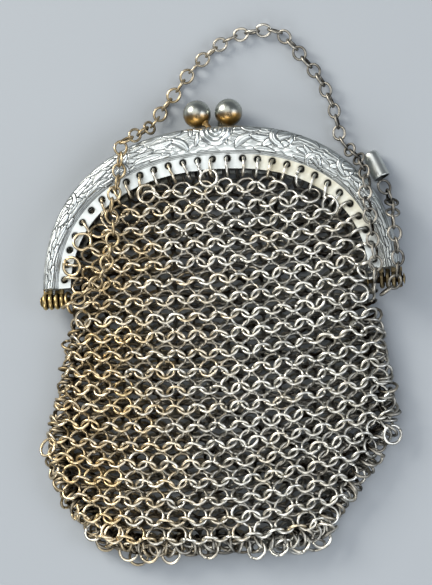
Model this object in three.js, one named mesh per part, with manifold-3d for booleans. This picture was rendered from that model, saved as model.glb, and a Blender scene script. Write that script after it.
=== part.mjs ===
// A ring mail coin purse on an arched kiss-lock frame, closed and lying on its back.
// Millimetres. +X is the purse's right, +Y runs from the bag's bottom to the clasp, +Z is up.
// The hinge axis is Y = 0 and the plane where the frame halves meet is Z = 0 until the last
// lines, which put the origin under the middle of the whole purse.
import * as THREE from 'three';
import { mergeVertices } from 'three/addons/utils/BufferGeometryUtils.js';
import Module from 'manifold-3d';

const wasm = await Module();
wasm.setup();

// Frame: an arch of pressed sheet, with a convex band outside and a pierced flange inside.
const ARCH_HALF_WIDTH = 38.6;
const ARCH_HEIGHT = 35.6;
const ARCH_POWER = 2.3;
const BAND_WIDTH_SIDE = 3.3;
const BAND_WIDTH_TOP = 6.1;
const FLANGE_WIDTH_SIDE = 2.9;
const FLANGE_WIDTH_TOP = 3.4;
const HOLE_INSET_SIDE = 1.5;
const HOLE_INSET_TOP = 1.2;
const BACK_RIM_EXTRA = 0.35;
const SHEET = 0.65;
const FLANGE_FACE = 3.2;
const BAND_CREST = 4.1;
const LEG_END = 2.2;
const HALVES_GAP = 0.3;
const ARCH_STEPS = 30;
const LENGTH_STEPS = 400;

// Sewing holes in the flange.
const HOLE_RADIUS = 0.68;
const HOLE_PITCH = 3.3;
const HOLES_PER_SIDE = 14;
const HOLE_SIDES = 6;

// Raised scrolls on the band: tapering ridges on spirals, each with a tail towards the top.
const RELIEF_HEIGHT = 0.3;
const RELIEF_WIDTH = 0.62;
const RELIEF_SINK = 0.25;
const RELIEF_TAPER = 0.55;
const SCROLL_STEPS = 7;
const SCROLL_OPEN = 1.25;
const SCROLL_CLOSE = 0.3;
const SCROLL_STRETCH = 1.15;
const SCROLL_START = 162;
const SCROLL_TAIL = { along: -2.1, across: -0.35 };
const SCROLL_FIELD = { low: 0.14, high: 0.9 };

// Hinges: four knuckles a side on one pin.
const BARREL_RADIUS = 1.9;
const BARREL_EDGE_RADIUS = 1.62;
const BORE_RADIUS = 1.0;
const PIN_RADIUS = 0.7;
const PIN_HEAD_RADIUS = 1.15;
const PIN_HEAD_LENGTH = 0.4;
const PIN_NECK = 2.4;
const PIN_SIDES = 10;
const BARREL_INSET = 4.2;
const KNUCKLE_WIDTH = 0.98;
const KNUCKLES = 4;
const KNUCKLE_SIDES = 8;
const FIT_GAP = 0.3;
const END_WALL = 1.0;
const NECK_START = 1.25;
const NECK_DEPTH = 1.3;

// Kiss-lock knobs.
const KNOB_RADIUS = 3.05;
const KNOB_RISE = 3.6;
const KNOB_SPREAD = 3.45;
const KNOB_LIFT = 0.3;
const STEM_RADIUS = 0.6;
const STEM_FOOT_X = 0.75;
const STEM_FOOT_Z = 1.5;
const RIVET_RADIUS = 0.95;
const RIVET_LENGTH = 0.5;
const STEM_SIDES = 8;
const STEM_HOLE_SIDES = 10;
const KNOB_SIDES = 14;
const KNOB_RINGS = 9;

// Mail bag: one ribbed hollow shell, open along the arch. Its front is a dome whose edge level
// lies low, and its back is flat with its edges turned up.
const BAG_DROP = 57.4;
const BAG_INSET = 1.0;
const BAG_FRONT = 4.9;
const BAG_BACK = 4.5;
const BAG_EDGE_LEVEL = -1.6;
const BAG_WALL = 2.2;
const BAG_RIB_PITCH = 3.86;
const BAG_RIB_HEIGHT = 0.3;
const BAG_ARCH_GAP = 0.4;
const BAG_SLIT_END = 6.0;
const BAG_HINGE_GAP = 3.2;
const BAG_HINGE_REACH = 3.7;
const BAG_SIDE_SPREAD = { slope: 3, most: 12 };
const BAG_DOME_POWER = 5;
const BAG_LEAST_HEIGHT = 0.8;
const BAG_TOP_STEPS = 12;
const BAG_INSIDE_ROWS = 12;
const BAG_TRIM_STEPS = 24;
const BAG_BACK_EDGE = [
  { across: 0.965, rise: 0.3 },
  { across: 0.9, rise: 0 },
  { across: 0, rise: 0 },
  { across: -0.9, rise: 0 },
  { across: -0.965, rise: 0.3 },
];

// Handle chain, tail chain and the rings and cup that hold them.
const CHAIN_RADIUS = 1.4;
const CHAIN_SIDES = 8;
const HANDLE_STEPS = 52;
const TAIL_STEPS = 16;
const RING_RADIUS = 2.2;
const RING_WIRE = 0.35;
const RING_LEAN = 40;
const RING_TURN = 12;
const RING_SIDES = 14;
const RING_WIRE_SIDES = 5;
const CUP_RADIUS = 1.75;
const CUP_MOUTH_RADIUS = 1.9;
const CUP_LENGTH = 6.3;
const CUP_WALL = 0.35;
const CUP_CROWN = 0.1;
const CUP_CROWN_SHARE = 0.62;
const CUP_NECK_SHARE = 0.24;
const CUP_SIDES = 12;

// The frame's face from the flange's inner edge (2) over the crease (1) to the outer edge (0),
// and its height as a share of the crest.
const SECTION = [
  { across: 2.0, rise: FLANGE_FACE / BAND_CREST },
  { across: 1.12, rise: FLANGE_FACE / BAND_CREST },
  { across: 1.0, rise: 0.84 },
  { across: 0.84, rise: 0.91 },
  { across: 0.5, rise: 1.0 },
  { across: 0.22, rise: 0.95 },
  { across: 0.06, rise: 0.8 },
  { across: 0.0, rise: 0.58 },
];

// The places where the sheet's inner face turns, from the lip back to the flange.
const UNDERSIDE = [SECTION[7], SECTION[5], SECTION[3], SECTION[1]];
const LIP_CURL = 0.2;
const LIP_CURL_THINNING = 0.6;

// The outline of the bag below the hinges, from hinge level (0) to the bottom edge (1): half its
// width and how far its middle has slid to the right, as shares of its greatest half width.
const BAG_OUTLINE = [
  { drop: 0.089, width: 0.892, slide: 0.0 },
  { drop: 0.26, width: 0.94, slide: -0.012 },
  { drop: 0.373, width: 0.974, slide: -0.02 },
  { drop: 0.486, width: 0.998, slide: -0.035 },
  { drop: 0.542, width: 1.0, slide: -0.041 },
  { drop: 0.596, width: 0.981, slide: -0.06 },
  { drop: 0.652, width: 0.95, slide: -0.08 },
  { drop: 0.707, width: 0.908, slide: -0.102 },
  { drop: 0.763, width: 0.85, slide: -0.113 },
  { drop: 0.817, width: 0.79, slide: -0.117 },
  { drop: 0.873, width: 0.723, slide: -0.12 },
  { drop: 0.929, width: 0.632, slide: -0.118 },
  { drop: 0.95, width: 0.545, slide: -0.106 },
  { drop: 0.97, width: 0.44, slide: -0.069 },
  { drop: 0.987, width: 0.33, slide: -0.027 },
  { drop: 1.0, width: 0.24, slide: -0.013 },
];

// How high the front of the bag stands along its middle, as shares of its greatest height.
const BAG_PROFILE = [
  { drop: -0.5, height: 0.91 },
  { drop: -0.26, height: 0.95 },
  { drop: 0.0, height: 1.0 },
  { drop: 0.26, height: 0.98 },
  { drop: 0.52, height: 0.9 },
  { drop: 0.78, height: 0.79 },
  { drop: 0.93, height: 0.68 },
  { drop: 1.0, height: 0.48 },
];

// Where the barrels begin on each side, and half the bag's width where it is widest.
const BARREL_INNER_END = ARCH_HALF_WIDTH - BARREL_INSET;
const BAG_HALF_WIDTH = ARCH_HALF_WIDTH - BAG_INSET;

// Scrolls on one side of the band: the place along the band from the top (0) to the hinge (1),
// the place across it, the size against the band's width, the side it opens to and its turns.
const SCROLLS = [
  { along: 0.12, across: 0.52, size: 0.34, turn: 1, turns: 1.1 },
  { along: 0.29, across: 0.5, size: 0.34, turn: -1, turns: 1.1 },
  { along: 0.45, across: 0.52, size: 0.33, turn: 1, turns: 1.1 },
  { along: 0.6, across: 0.5, size: 0.33, turn: -1, turns: 1.0 },
  { along: 0.74, across: 0.5, size: 0.32, turn: 1, turns: 1.0 },
];

// The handle chain's route: over the mail and the frame at the left, round on the table and
// back up over the right shoulder to the right hinge.
const HANDLE_ROUTE = [
  [-33.4, -1.9, 5.0], [-29.8, -0.5, 6.4], [-26.1, 2.0, 7.1], [-22.9, 7.7, 7.1], [-21.7, 13.6, 7.0],
  [-22.0, 18.8, 6.8], [-20.4, 24.3, 6.6], [-19.7, 29.7, 6.4], [-19.3, 32.6, 5.9], [-17.6, 34.2, 4.4],
  [-15.8, 35.6, 2.5], [-14.1, 37.2, -0.2], [-12.9, 39.3, -2.3], [-11.7, 41.4, -3.05], [-8.7, 45.0, -3.05],
  [-5.1, 49.6, -3.05], [-1.1, 53.1, -3.05], [3.6, 56.3, -3.05], [8.9, 57.6, -3.05], [14.2, 57.4, -3.05],
  [17.4, 54.6, -3.05], [20.5, 50.3, -3.05], [23.4, 46.1, -3.05], [25.6, 40.9, -3.05], [26.7, 36.9, -3.05],
  [27.3, 32.9, -3.05], [28.4, 30.3, -2.8], [30.3, 28.2, -0.6], [31.7, 25.9, 2.2], [32.6, 23.2, 4.8],
  [33.2, 20.6, 6.0], [32.8, 18.6, 6.5], [33.0, 16.0, 6.7], [33.5, 13.4, 6.7], [33.7, 11.0, 6.7],
  [33.8, 8.5, 6.7], [34.1, 5.9, 6.7], [34.2, 2.9, 6.4], [33.8, -0.9, 4.9],
];

// The tail chain's route: from the right ring over the hinge and up along the leg's outer edge.
const TAIL_ROUTE = [
  [34.8, -3.4, 3.1], [36.4, -2.6, 3.7], [38.1, -0.8, 4.3], [38.8, 2.8, 5.2], [38.7, 6.0, 5.6],
  [38.5, 8.2, 5.6], [38.4, 10.1, 5.5], [38.2, 12.8, 4.9], [38.2, 15.3, 1.7], [37.5, 17.8, -1.5],
  [36.5, 20.2, -3.0], [35.9, 21.9, -2.7],
];

// The cup's closed end and the direction in which it opens, on the table by the shoulder.
const CUP_END = [33.5, 28.5];
const CUP_TOWARDS = [36.0, 22.6];

// A closed three.js geometry as a solid that can be cut and joined.
function solid(geometry) {
  const bare = geometry.index ? geometry.toNonIndexed() : geometry.clone();
  bare.deleteAttribute('normal');
  bare.deleteAttribute('uv');
  const merged = mergeVertices(bare, 1e-4);
  return new wasm.Manifold(new wasm.Mesh({
    numProp: 3,
    vertProperties: new Float32Array(merged.attributes.position.array),
    triVerts: new Uint32Array(merged.index.array),
  }));
}

// A solid as a named mesh with its own finish.
function piece(name, body, finish) {
  const made = body.getMesh();
  const geometry = new THREE.BufferGeometry();
  geometry.setAttribute('position', new THREE.BufferAttribute(made.vertProperties, 3));
  geometry.setIndex(new THREE.BufferAttribute(made.triVerts, 1));
  geometry.computeVertexNormals();
  const mesh = new THREE.Mesh(geometry, new THREE.MeshStandardMaterial(finish));
  mesh.name = name;
  return mesh;
}

// Several bodies as one.
function joined(bodies) {
  return bodies.reduce((whole, body) => whole.add(body));
}

// A closed body through a list of rings with equally many points, flat at both ends.
function loft(rings) {
  const count = rings[0].length;
  const points = rings.flat();
  const faces = [];
  for (let i = 0; i + 1 < rings.length; i += 1) {
    for (let j = 0; j < count; j += 1) {
      const a = i * count + j;
      const b = i * count + ((j + 1) % count);
      faces.push(a, b, b + count, a, b + count, a + count);
    }
  }
  for (const [ring, start, flip] of [[rings[0], 0, true], [rings.at(-1), points.length - count, false]]) {
    for (const [a, b, c] of cap(ring)) {
      faces.push(start + a, start + (flip ? c : b), start + (flip ? b : c));
    }
  }
  const geometry = new THREE.BufferGeometry();
  geometry.setAttribute('position', new THREE.Float32BufferAttribute(points.flatMap((p) => p.toArray()), 3));
  geometry.setIndex(faces);
  const body = solid(geometry);
  if (body.volume() > 0) {
    return body;
  }
  geometry.setIndex(faces.map((_, k) => faces[k - (k % 3) + [0, 2, 1][k % 3]]));
  return solid(geometry);
}

// The triangles that close a flat ring, turned the way the ring's own points run.
function cap(ring) {
  const normal = new THREE.Vector3();
  ring.forEach((p, i) => {
    normal.add(new THREE.Vector3().crossVectors(p, ring[(i + 1) % ring.length]));
  });
  normal.normalize();
  const side = new THREE.Vector3(1, 0, 0);
  if (Math.abs(normal.x) > 0.7) {
    side.set(0, 1, 0);
  }
  const across = new THREE.Vector3().crossVectors(normal, side).normalize();
  side.crossVectors(across, normal);
  const flat = ring.map((p) => new THREE.Vector2(p.dot(side), p.dot(across)));
  return THREE.ShapeUtils.triangulateShape(flat, []);
}

// The value of a column at a place in a table, straight between its rows.
function lookUp(table, column, drop) {
  const next = table.findIndex((row) => row.drop >= drop);
  if (next === 0) {
    return table[0][column];
  }
  if (next < 0) {
    return table.at(-1)[column];
  }
  const [low, high] = [table[next - 1], table[next]];
  return THREE.MathUtils.lerp(low[column], high[column], (drop - low.drop) / (high.drop - low.drop));
}

// A point of an arch line: inset from the outer edge, at share 0 at the right leg's end and 1
// at the left leg's end.
function archPoint(insetSide, insetTop, share, extra = 0) {
  const a = ARCH_HALF_WIDTH + extra - insetSide;
  const b = ARCH_HEIGHT + extra - insetTop;
  const start = Math.asin((LEG_END / b) ** (ARCH_POWER / 2));
  const turn = THREE.MathUtils.lerp(start, Math.PI - start, share);
  const x = Math.sign(Math.cos(turn)) * Math.abs(Math.cos(turn)) ** (2 / ARCH_POWER) * a;
  return new THREE.Vector3(x, b * Math.sin(turn) ** (2 / ARCH_POWER), 0);
}

// A line across the frame: 0 at the outer edge, 1 at the crease, 2 at the flange's inner edge.
function acrossFrame(across, share, extra = 0, inset = 0) {
  const flange = Math.max(across - 1, 0);
  const band = Math.min(across, 1);
  return archPoint(
    band * BAND_WIDTH_SIDE + flange * FLANGE_WIDTH_SIDE + inset,
    band * BAND_WIDTH_TOP + flange * FLANGE_WIDTH_TOP + inset,
    share,
    extra * (1 - band),
  );
}

// The sheet's section at one share of the arch, face, lip and inner face in turn.
function frameSection(share, extra) {
  const ring = SECTION.map(({ across, rise }) => {
    const point = acrossFrame(across, share, extra);
    point.z = rise * BAND_CREST;
    return point;
  });
  for (const [inset, z] of [[0, HALVES_GAP / 2], [SHEET, HALVES_GAP / 2]]) {
    const lip = acrossFrame(0, share, extra, inset);
    lip.z = z;
    ring.push(lip);
  }
  for (const { across, rise } of UNDERSIDE) {
    const edge = Math.max(0, 1 - across / LIP_CURL);
    const point = acrossFrame(across, share, extra, SHEET * edge);
    point.z = rise * BAND_CREST - SHEET * (1 - LIP_CURL_THINNING * edge);
    ring.push(point);
  }
  const under = acrossFrame(2, share, extra);
  under.z = FLANGE_FACE - SHEET;
  ring.push(under);
  return ring;
}

// The height of the band's face at a place across it.
function bandFace(across) {
  const rows = SECTION.filter((row) => row.across <= 1).sort((a, b) => a.across - b.across);
  const table = rows.map((row) => ({ drop: row.across, rise: row.rise }));
  return lookUp(table, 'rise', across) * BAND_CREST;
}

// Length along the arch line in the middle of the band, and the share that a length reaches.
function lengthTable(insetSide, insetTop) {
  const table = [{ drop: 0, share: 0.5 }];
  let length = 0;
  let last = archPoint(insetSide, insetTop, 0.5);
  for (let i = 1; i <= LENGTH_STEPS; i += 1) {
    const share = 0.5 - (0.5 * i) / LENGTH_STEPS;
    const point = archPoint(insetSide, insetTop, share);
    length += point.distanceTo(last);
    last = point;
    table.push({ drop: length, share });
  }
  return table;
}

// One raised scroll: a tapering ridge on a spiral, with a tail along the band.
function scroll(row, side, extra) {
  const lengths = lengthTable(BAND_WIDTH_SIDE / 2, BAND_WIDTH_TOP / 2);
  const half = lengths.at(-1).drop;
  const width = THREE.MathUtils.lerp(BAND_WIDTH_TOP, BAND_WIDTH_SIDE, row.along);
  const size = row.size * width;
  const place = (along, across) => {
    const length = row.along * half + along;
    const share = lookUp(lengths, 'share', Math.abs(length));
    const at = THREE.MathUtils.clamp(row.across - across / width, SCROLL_FIELD.low, SCROLL_FIELD.high);
    const point = acrossFrame(at, side * Math.sign(length) > 0 ? share : 1 - share, extra);
    point.z = bandFace(at);
    return point;
  };
  const spine = [place(size * SCROLL_TAIL.along, row.turn * size * SCROLL_TAIL.across)];
  for (let i = 0; i <= SCROLL_STEPS; i += 1) {
    const t = i / SCROLL_STEPS;
    const turn = row.turn * (THREE.MathUtils.degToRad(SCROLL_START) - t * row.turns * 2 * Math.PI);
    const radius = size * THREE.MathUtils.lerp(SCROLL_OPEN, SCROLL_CLOSE, t);
    spine.push(place(radius * Math.cos(turn) * SCROLL_STRETCH, radius * Math.sin(turn)));
  }
  const rings = spine.map((point, i) => {
    const ahead = spine[Math.min(i + 1, spine.length - 1)];
    const behind = spine[Math.max(i - 1, 0)];
    const run = ahead.clone().sub(behind).setZ(0).normalize();
    const out = new THREE.Vector3(-run.y, run.x, 0);
    const taper = i === 0 || i === spine.length - 1 ? RELIEF_TAPER : 1;
    const reach = (RELIEF_WIDTH / 2) * taper;
    return [
      point.clone().addScaledVector(out, -reach).setZ(point.z - RELIEF_SINK),
      point.clone().addScaledVector(out, reach).setZ(point.z - RELIEF_SINK),
      point.clone().setZ(point.z + RELIEF_HEIGHT * taper),
    ];
  });
  return loft(rings);
}

// The end wall of a leg and the knuckles that hang on it, for one half of the frame.
function hingeParts(side, parity) {
  const parts = [];
  const inner = archPoint(BAND_WIDTH_SIDE + FLANGE_WIDTH_SIDE, BAND_WIDTH_TOP + FLANGE_WIDTH_TOP, 0).x;
  const width = ARCH_HALF_WIDTH - inner - 2 * SHEET;
  const wall = new THREE.BoxGeometry(width, END_WALL, FLANGE_FACE - HALVES_GAP / 2);
  wall.translate(
    (side * (ARCH_HALF_WIDTH + inner)) / 2,
    LEG_END + END_WALL / 2,
    (FLANGE_FACE + HALVES_GAP / 2) / 2,
  );
  parts.push(solid(wall));
  for (let i = parity; i < KNUCKLES; i += 2) {
    const middle = BARREL_INNER_END + KNUCKLE_WIDTH / 2 + i * (KNUCKLE_WIDTH + FIT_GAP);
    const profile = [
      [BORE_RADIUS, -0.5],
      [BARREL_EDGE_RADIUS, -0.5],
      [BARREL_RADIUS, 0],
      [BARREL_EDGE_RADIUS, 0.5],
      [BORE_RADIUS, 0.5],
      [BORE_RADIUS, -0.5],
    ].map(([radius, share]) => new THREE.Vector2(radius, share * KNUCKLE_WIDTH));
    const knuckle = new THREE.LatheGeometry(profile, KNUCKLE_SIDES);
    knuckle.rotateZ(Math.PI / 2);
    knuckle.translate(side * middle, 0, 0);
    const neck = new THREE.BoxGeometry(KNUCKLE_WIDTH, LEG_END + END_WALL / 2 - NECK_START, NECK_DEPTH);
    neck.translate(
      side * middle,
      (LEG_END + END_WALL / 2 + NECK_START) / 2,
      HALVES_GAP / 2 + NECK_DEPTH / 2,
    );
    parts.push(solid(knuckle), solid(neck));
  }
  return parts;
}

// Where a knob's stem passes the frame: its foot inside the lip and the knob's middle.
function knobLine() {
  const foot = new THREE.Vector3(STEM_FOOT_X, ARCH_HEIGHT - SHEET - RIVET_RADIUS - FIT_GAP, STEM_FOOT_Z);
  const middle = new THREE.Vector3(-KNOB_SPREAD, ARCH_HEIGHT + KNOB_RISE, KNOB_LIFT);
  return { foot, middle };
}

// A round bar between two points.
function bar(from, to, radius, sides) {
  const run = to.clone().sub(from);
  const geometry = new THREE.CylinderGeometry(radius, radius, run.length(), sides);
  const turn = new THREE.Quaternion().setFromUnitVectors(new THREE.Vector3(0, 1, 0), run.clone().normalize());
  geometry.applyQuaternion(turn);
  geometry.translate(...from.clone().addScaledVector(run, 0.5).toArray());
  return solid(geometry);
}

// One half of the frame, face up: the front as it lies, the back before it is turned over.
function frameHalf(extra, parity, scrolls) {
  const rings = [];
  for (let i = 0; i <= ARCH_STEPS; i += 1) {
    rings.push(frameSection(i / ARCH_STEPS, extra));
  }
  const parts = [loft(rings), ...hingeParts(1, parity), ...hingeParts(-1, parity)];
  for (const row of scrolls) {
    parts.push(scroll(row, 1, extra), scroll(row, -1, extra));
  }
  let body = joined(parts);
  const insetSide = BAND_WIDTH_SIDE + HOLE_INSET_SIDE;
  const insetTop = BAND_WIDTH_TOP + HOLE_INSET_TOP;
  const lengths = lengthTable(insetSide, insetTop);
  const drills = [];
  for (let i = -HOLES_PER_SIDE; i <= HOLES_PER_SIDE; i += 1) {
    const share = lookUp(lengths, 'share', Math.abs(i) * HOLE_PITCH);
    const at = archPoint(insetSide, insetTop, i < 0 ? 1 - share : share);
    const drill = new THREE.CylinderGeometry(HOLE_RADIUS, HOLE_RADIUS, 4 * SHEET, HOLE_SIDES);
    drill.rotateX(Math.PI / 2);
    drill.translate(at.x, at.y, FLANGE_FACE - SHEET / 2);
    drills.push(solid(drill));
  }
  body = body.subtract(joined(drills));
  const { foot, middle } = knobLine();
  return body.subtract(bar(foot, middle, STEM_RADIUS + FIT_GAP, STEM_HOLE_SIDES));
}

// A knob: a ball on a stem that is riveted over inside the lip.
function knob() {
  const { foot, middle } = knobLine();
  const ball = new THREE.SphereGeometry(KNOB_RADIUS, KNOB_SIDES, KNOB_RINGS);
  ball.rotateX(Math.PI / 2);
  ball.translate(...middle.toArray());
  const run = middle.clone().sub(foot).normalize();
  const end = foot.clone().addScaledVector(run, -RIVET_LENGTH);
  const middleOfRivet = end.clone().lerp(foot, 0.5);
  return joined([
    solid(ball),
    bar(middleOfRivet, middle, STEM_RADIUS, STEM_SIDES),
    bar(end, foot, RIVET_RADIUS, STEM_SIDES),
  ]);
}

// Turns a body over about the Y axis, as the back half lies behind the front half.
function turnedOver(body) {
  return body.rotate([0, 180, 0]);
}

// A hinge pin with a head at each end and a free neck on its inner side for the chain's ring.
function hingePin(side) {
  const outer = BARREL_INNER_END + KNUCKLES * KNUCKLE_WIDTH + (KNUCKLES - 1) * FIT_GAP + FIT_GAP;
  const inner = BARREL_INNER_END - PIN_NECK;
  const profile = [
    [0, inner - PIN_HEAD_LENGTH],
    [PIN_HEAD_RADIUS, inner - PIN_HEAD_LENGTH],
    [PIN_HEAD_RADIUS, inner],
    [PIN_RADIUS, inner],
    [PIN_RADIUS, outer],
    [PIN_HEAD_RADIUS, outer],
    [PIN_HEAD_RADIUS, outer + PIN_HEAD_LENGTH],
    [0, outer + PIN_HEAD_LENGTH],
  ].map(([radius, along]) => new THREE.Vector2(radius, along));
  const pin = new THREE.LatheGeometry(profile, PIN_SIDES);
  pin.rotateZ((-side * Math.PI) / 2);
  return solid(pin);
}

// The ring on a pin's neck, leaning towards the bag's front.
function neckRing(side) {
  const ring = new THREE.TorusGeometry(RING_RADIUS, RING_WIRE, RING_WIRE_SIDES, RING_SIDES);
  ring.rotateY(Math.PI / 2);
  ring.translate(0, -(RING_RADIUS - RING_WIRE - PIN_RADIUS - FIT_GAP), 0);
  ring.rotateY(side * THREE.MathUtils.degToRad(RING_TURN));
  ring.rotateX(-THREE.MathUtils.degToRad(RING_LEAN));
  ring.translate(side * (BARREL_INNER_END - PIN_NECK / 2), 0, 0);
  return solid(ring);
}

// A chain's form as a round bar along its route.
function chain(route, steps) {
  const path = new THREE.CatmullRomCurve3(route.map((p) => new THREE.Vector3(...p)));
  const shape = new THREE.Shape();
  for (let i = 0; i < CHAIN_SIDES; i += 1) {
    const turn = ((i + 0.5) * 2 * Math.PI) / CHAIN_SIDES;
    const at = [CHAIN_RADIUS * Math.cos(turn), CHAIN_RADIUS * Math.sin(turn)];
    if (i === 0) {
      shape.moveTo(...at);
    } else {
      shape.lineTo(...at);
    }
  }
  shape.closePath();
  return solid(new THREE.ExtrudeGeometry(shape, { steps, extrudePath: path, bevelEnabled: false }));
}

// The cup at the tail chain's end, closed at the top and open below.
function endCup() {
  const profile = [
    [0, 0],
    [CUP_CROWN_SHARE * CUP_RADIUS, CUP_CROWN],
    [CUP_RADIUS, CUP_NECK_SHARE * CUP_LENGTH],
    [CUP_MOUTH_RADIUS, CUP_LENGTH],
    [CUP_MOUTH_RADIUS - CUP_WALL, CUP_LENGTH],
    [CUP_RADIUS - CUP_WALL, CUP_NECK_SHARE * CUP_LENGTH + CUP_CROWN],
    [0, 2 * CUP_WALL],
  ].map(([radius, along]) => new THREE.Vector2(radius, along));
  const cup = new THREE.LatheGeometry(profile, CUP_SIDES);
  const run = new THREE.Vector3(CUP_TOWARDS[0] - CUP_END[0], CUP_TOWARDS[1] - CUP_END[1], 0).normalize();
  cup.applyQuaternion(new THREE.Quaternion().setFromUnitVectors(new THREE.Vector3(0, 1, 0), run));
  cup.translate(CUP_END[0], CUP_END[1], CUP_MOUTH_RADIUS - BAG_BACK);
  return solid(cup);
}

// Half the bag's width at a height; above the slit's end it only has to reach past the frame.
function bagHalfWidth(y) {
  const spread = BAG_SIDE_SPREAD.slope * Math.max(y + BAG_SLIT_END, 0);
  const outline = lookUp(BAG_OUTLINE, 'width', -y / BAG_DROP) * BAG_HALF_WIDTH;
  return outline + Math.min(spread, BAG_SIDE_SPREAD.most);
}

// One section of the bag across its width, at the outer face or a wall further in.
function bagSection(y, inset) {
  const half = bagHalfWidth(y) - inset;
  const crest = (BAG_FRONT + BAG_BACK) * lookUp(BAG_PROFILE, 'height', -y / BAG_DROP) - BAG_BACK;
  const rib = inset > 0 ? 0 : BAG_RIB_HEIGHT * Math.cos((2 * Math.PI * y) / BAG_RIB_PITCH);
  const height = Math.max(crest - inset - BAG_EDGE_LEVEL, BAG_LEAST_HEIGHT) + rib;
  const middle = lookUp(BAG_OUTLINE, 'slide', -y / BAG_DROP) * BAG_HALF_WIDTH;
  const ring = [];
  for (let i = 0; i <= BAG_TOP_STEPS; i += 1) {
    const across = Math.sin((Math.PI / 2) * ((2 * i) / BAG_TOP_STEPS - 1));
    const dome = Math.sqrt(Math.max(1 - Math.abs(across) ** BAG_DOME_POWER, 0));
    ring.push(new THREE.Vector3(middle + across * half, y, BAG_EDGE_LEVEL + height * dome));
  }
  for (const { across, rise } of BAG_BACK_EDGE) {
    const z = THREE.MathUtils.lerp(inset - BAG_BACK, BAG_EDGE_LEVEL, rise);
    ring.push(new THREE.Vector3(middle + across * half, y, z));
  }
  return ring;
}

// The bag's outline from the front: the arch's inside, the hinges' clearance and open below.
function bagTrim() {
  const shape = new THREE.Shape();
  const below = BAG_DROP + BAG_WALL;
  const beside = BAG_HALF_WIDTH + BAG_WALL;
  const slit = lookUp(BAG_OUTLINE, 'width', BAG_SLIT_END / BAG_DROP) * BAG_HALF_WIDTH;
  const clear = BARREL_INNER_END - BAG_HINGE_GAP;
  shape.moveTo(-beside, -below);
  shape.lineTo(beside, -below);
  shape.lineTo(beside, -BAG_SLIT_END);
  shape.lineTo(slit, -BAG_SLIT_END);
  shape.lineTo(clear, -BAG_HINGE_REACH);
  shape.lineTo(clear, BAG_HINGE_REACH);
  const insetSide = BAND_WIDTH_SIDE + FLANGE_WIDTH_SIDE + BAG_ARCH_GAP;
  const insetTop = BAND_WIDTH_TOP + FLANGE_WIDTH_TOP + BAG_ARCH_GAP;
  for (let i = 1; i < BAG_TRIM_STEPS; i += 1) {
    const at = archPoint(insetSide, insetTop, i / BAG_TRIM_STEPS);
    if (at.y > BAG_HINGE_REACH) {
      shape.lineTo(at.x, at.y);
    }
  }
  shape.lineTo(-clear, BAG_HINGE_REACH);
  shape.lineTo(-clear, -BAG_HINGE_REACH);
  shape.lineTo(-slit, -BAG_SLIT_END);
  shape.lineTo(-beside, -BAG_SLIT_END);
  shape.closePath();
  const depth = 4 * BAG_BACK;
  const geometry = new THREE.ExtrudeGeometry(shape, { depth, bevelEnabled: false });
  geometry.translate(0, 0, -depth / 2);
  return solid(geometry);
}

// The hollow bag: rows at the ribs' crests and hollows outside, fewer inside.
function bag() {
  const step = BAG_RIB_PITCH / 2;
  const outside = BAG_OUTLINE.slice(-3).reverse().map((row) => bagSection(-BAG_DROP * row.drop, 0));
  const lowest = BAG_DROP * BAG_OUTLINE.at(-3).drop - step / 2;
  for (let i = Math.ceil(-lowest / step); i * step < ARCH_HEIGHT - BAND_WIDTH_TOP; i += 1) {
    outside.push(bagSection(i * step, 0));
  }
  const inside = [];
  for (let i = 0; i <= BAG_INSIDE_ROWS; i += 1) {
    const y = THREE.MathUtils.lerp(BAG_WALL - BAG_DROP, ARCH_HEIGHT, i / BAG_INSIDE_ROWS);
    inside.push(bagSection(y, BAG_WALL));
  }
  return loft(outside).subtract(loft(inside)).intersect(bagTrim());
}

// Finishes.
const SILVER = { color: '#c9c8c3', roughness: 0.34, metalness: 0.95 };
const BALL_SILVER = { color: '#a9a9a2', roughness: 0.22, metalness: 1.0 };
const BRASS = { color: '#b58f4e', roughness: 0.36, metalness: 1.0 };
const MAIL = { color: '#a89b83', roughness: 0.42, metalness: 0.9 };
const CHAIN_METAL = { color: '#8f8677', roughness: 0.4, metalness: 0.95 };

const purse = new THREE.Group();
purse.add(piece('front_frame', frameHalf(0, 0, SCROLLS), SILVER));
purse.add(piece('back_frame', turnedOver(frameHalf(BACK_RIM_EXTRA, 1, SCROLLS)), SILVER));
purse.add(piece('front_knob', knob(), BALL_SILVER));
purse.add(piece('back_knob', turnedOver(knob()), BALL_SILVER));
purse.add(piece('left_hinge_pin', hingePin(-1), BRASS));
purse.add(piece('right_hinge_pin', hingePin(1), BRASS));
purse.add(piece('left_chain_ring', neckRing(-1), BRASS));
purse.add(piece('right_chain_ring', neckRing(1), CHAIN_METAL));
purse.add(piece('mesh_bag', bag(), MAIL));
purse.add(piece('handle_chain', chain(HANDLE_ROUTE, HANDLE_STEPS), CHAIN_METAL));
purse.add(piece('tail_chain', chain(TAIL_ROUTE, TAIL_STEPS), CHAIN_METAL));
purse.add(piece('tail_cup', endCup(), SILVER));

const box = new THREE.Box3().setFromObject(purse);
purse.position.set(-(box.min.x + box.max.x) / 2, -(box.min.y + box.max.y) / 2, -box.min.z);

export default purse;
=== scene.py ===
"""Looks of a ring mail coin purse on an arched kiss-lock frame, lying on its back.

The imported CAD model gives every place. Shapes are worked out in millimetres in the purse's own
axes: X across, Y from the bag's bottom to the clasp, Z up, with the hinge axis at Y = 0 and the
plane where the two frame halves meet at Z = 0. They turn to metres as each mesh is made.
"""
import logging
import math
from dataclasses import dataclass, field, replace
from enum import Enum
from typing import Any, Callable, Iterable, Sequence

import bpy
import numpy as np
from mathutils import Matrix, Vector


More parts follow.
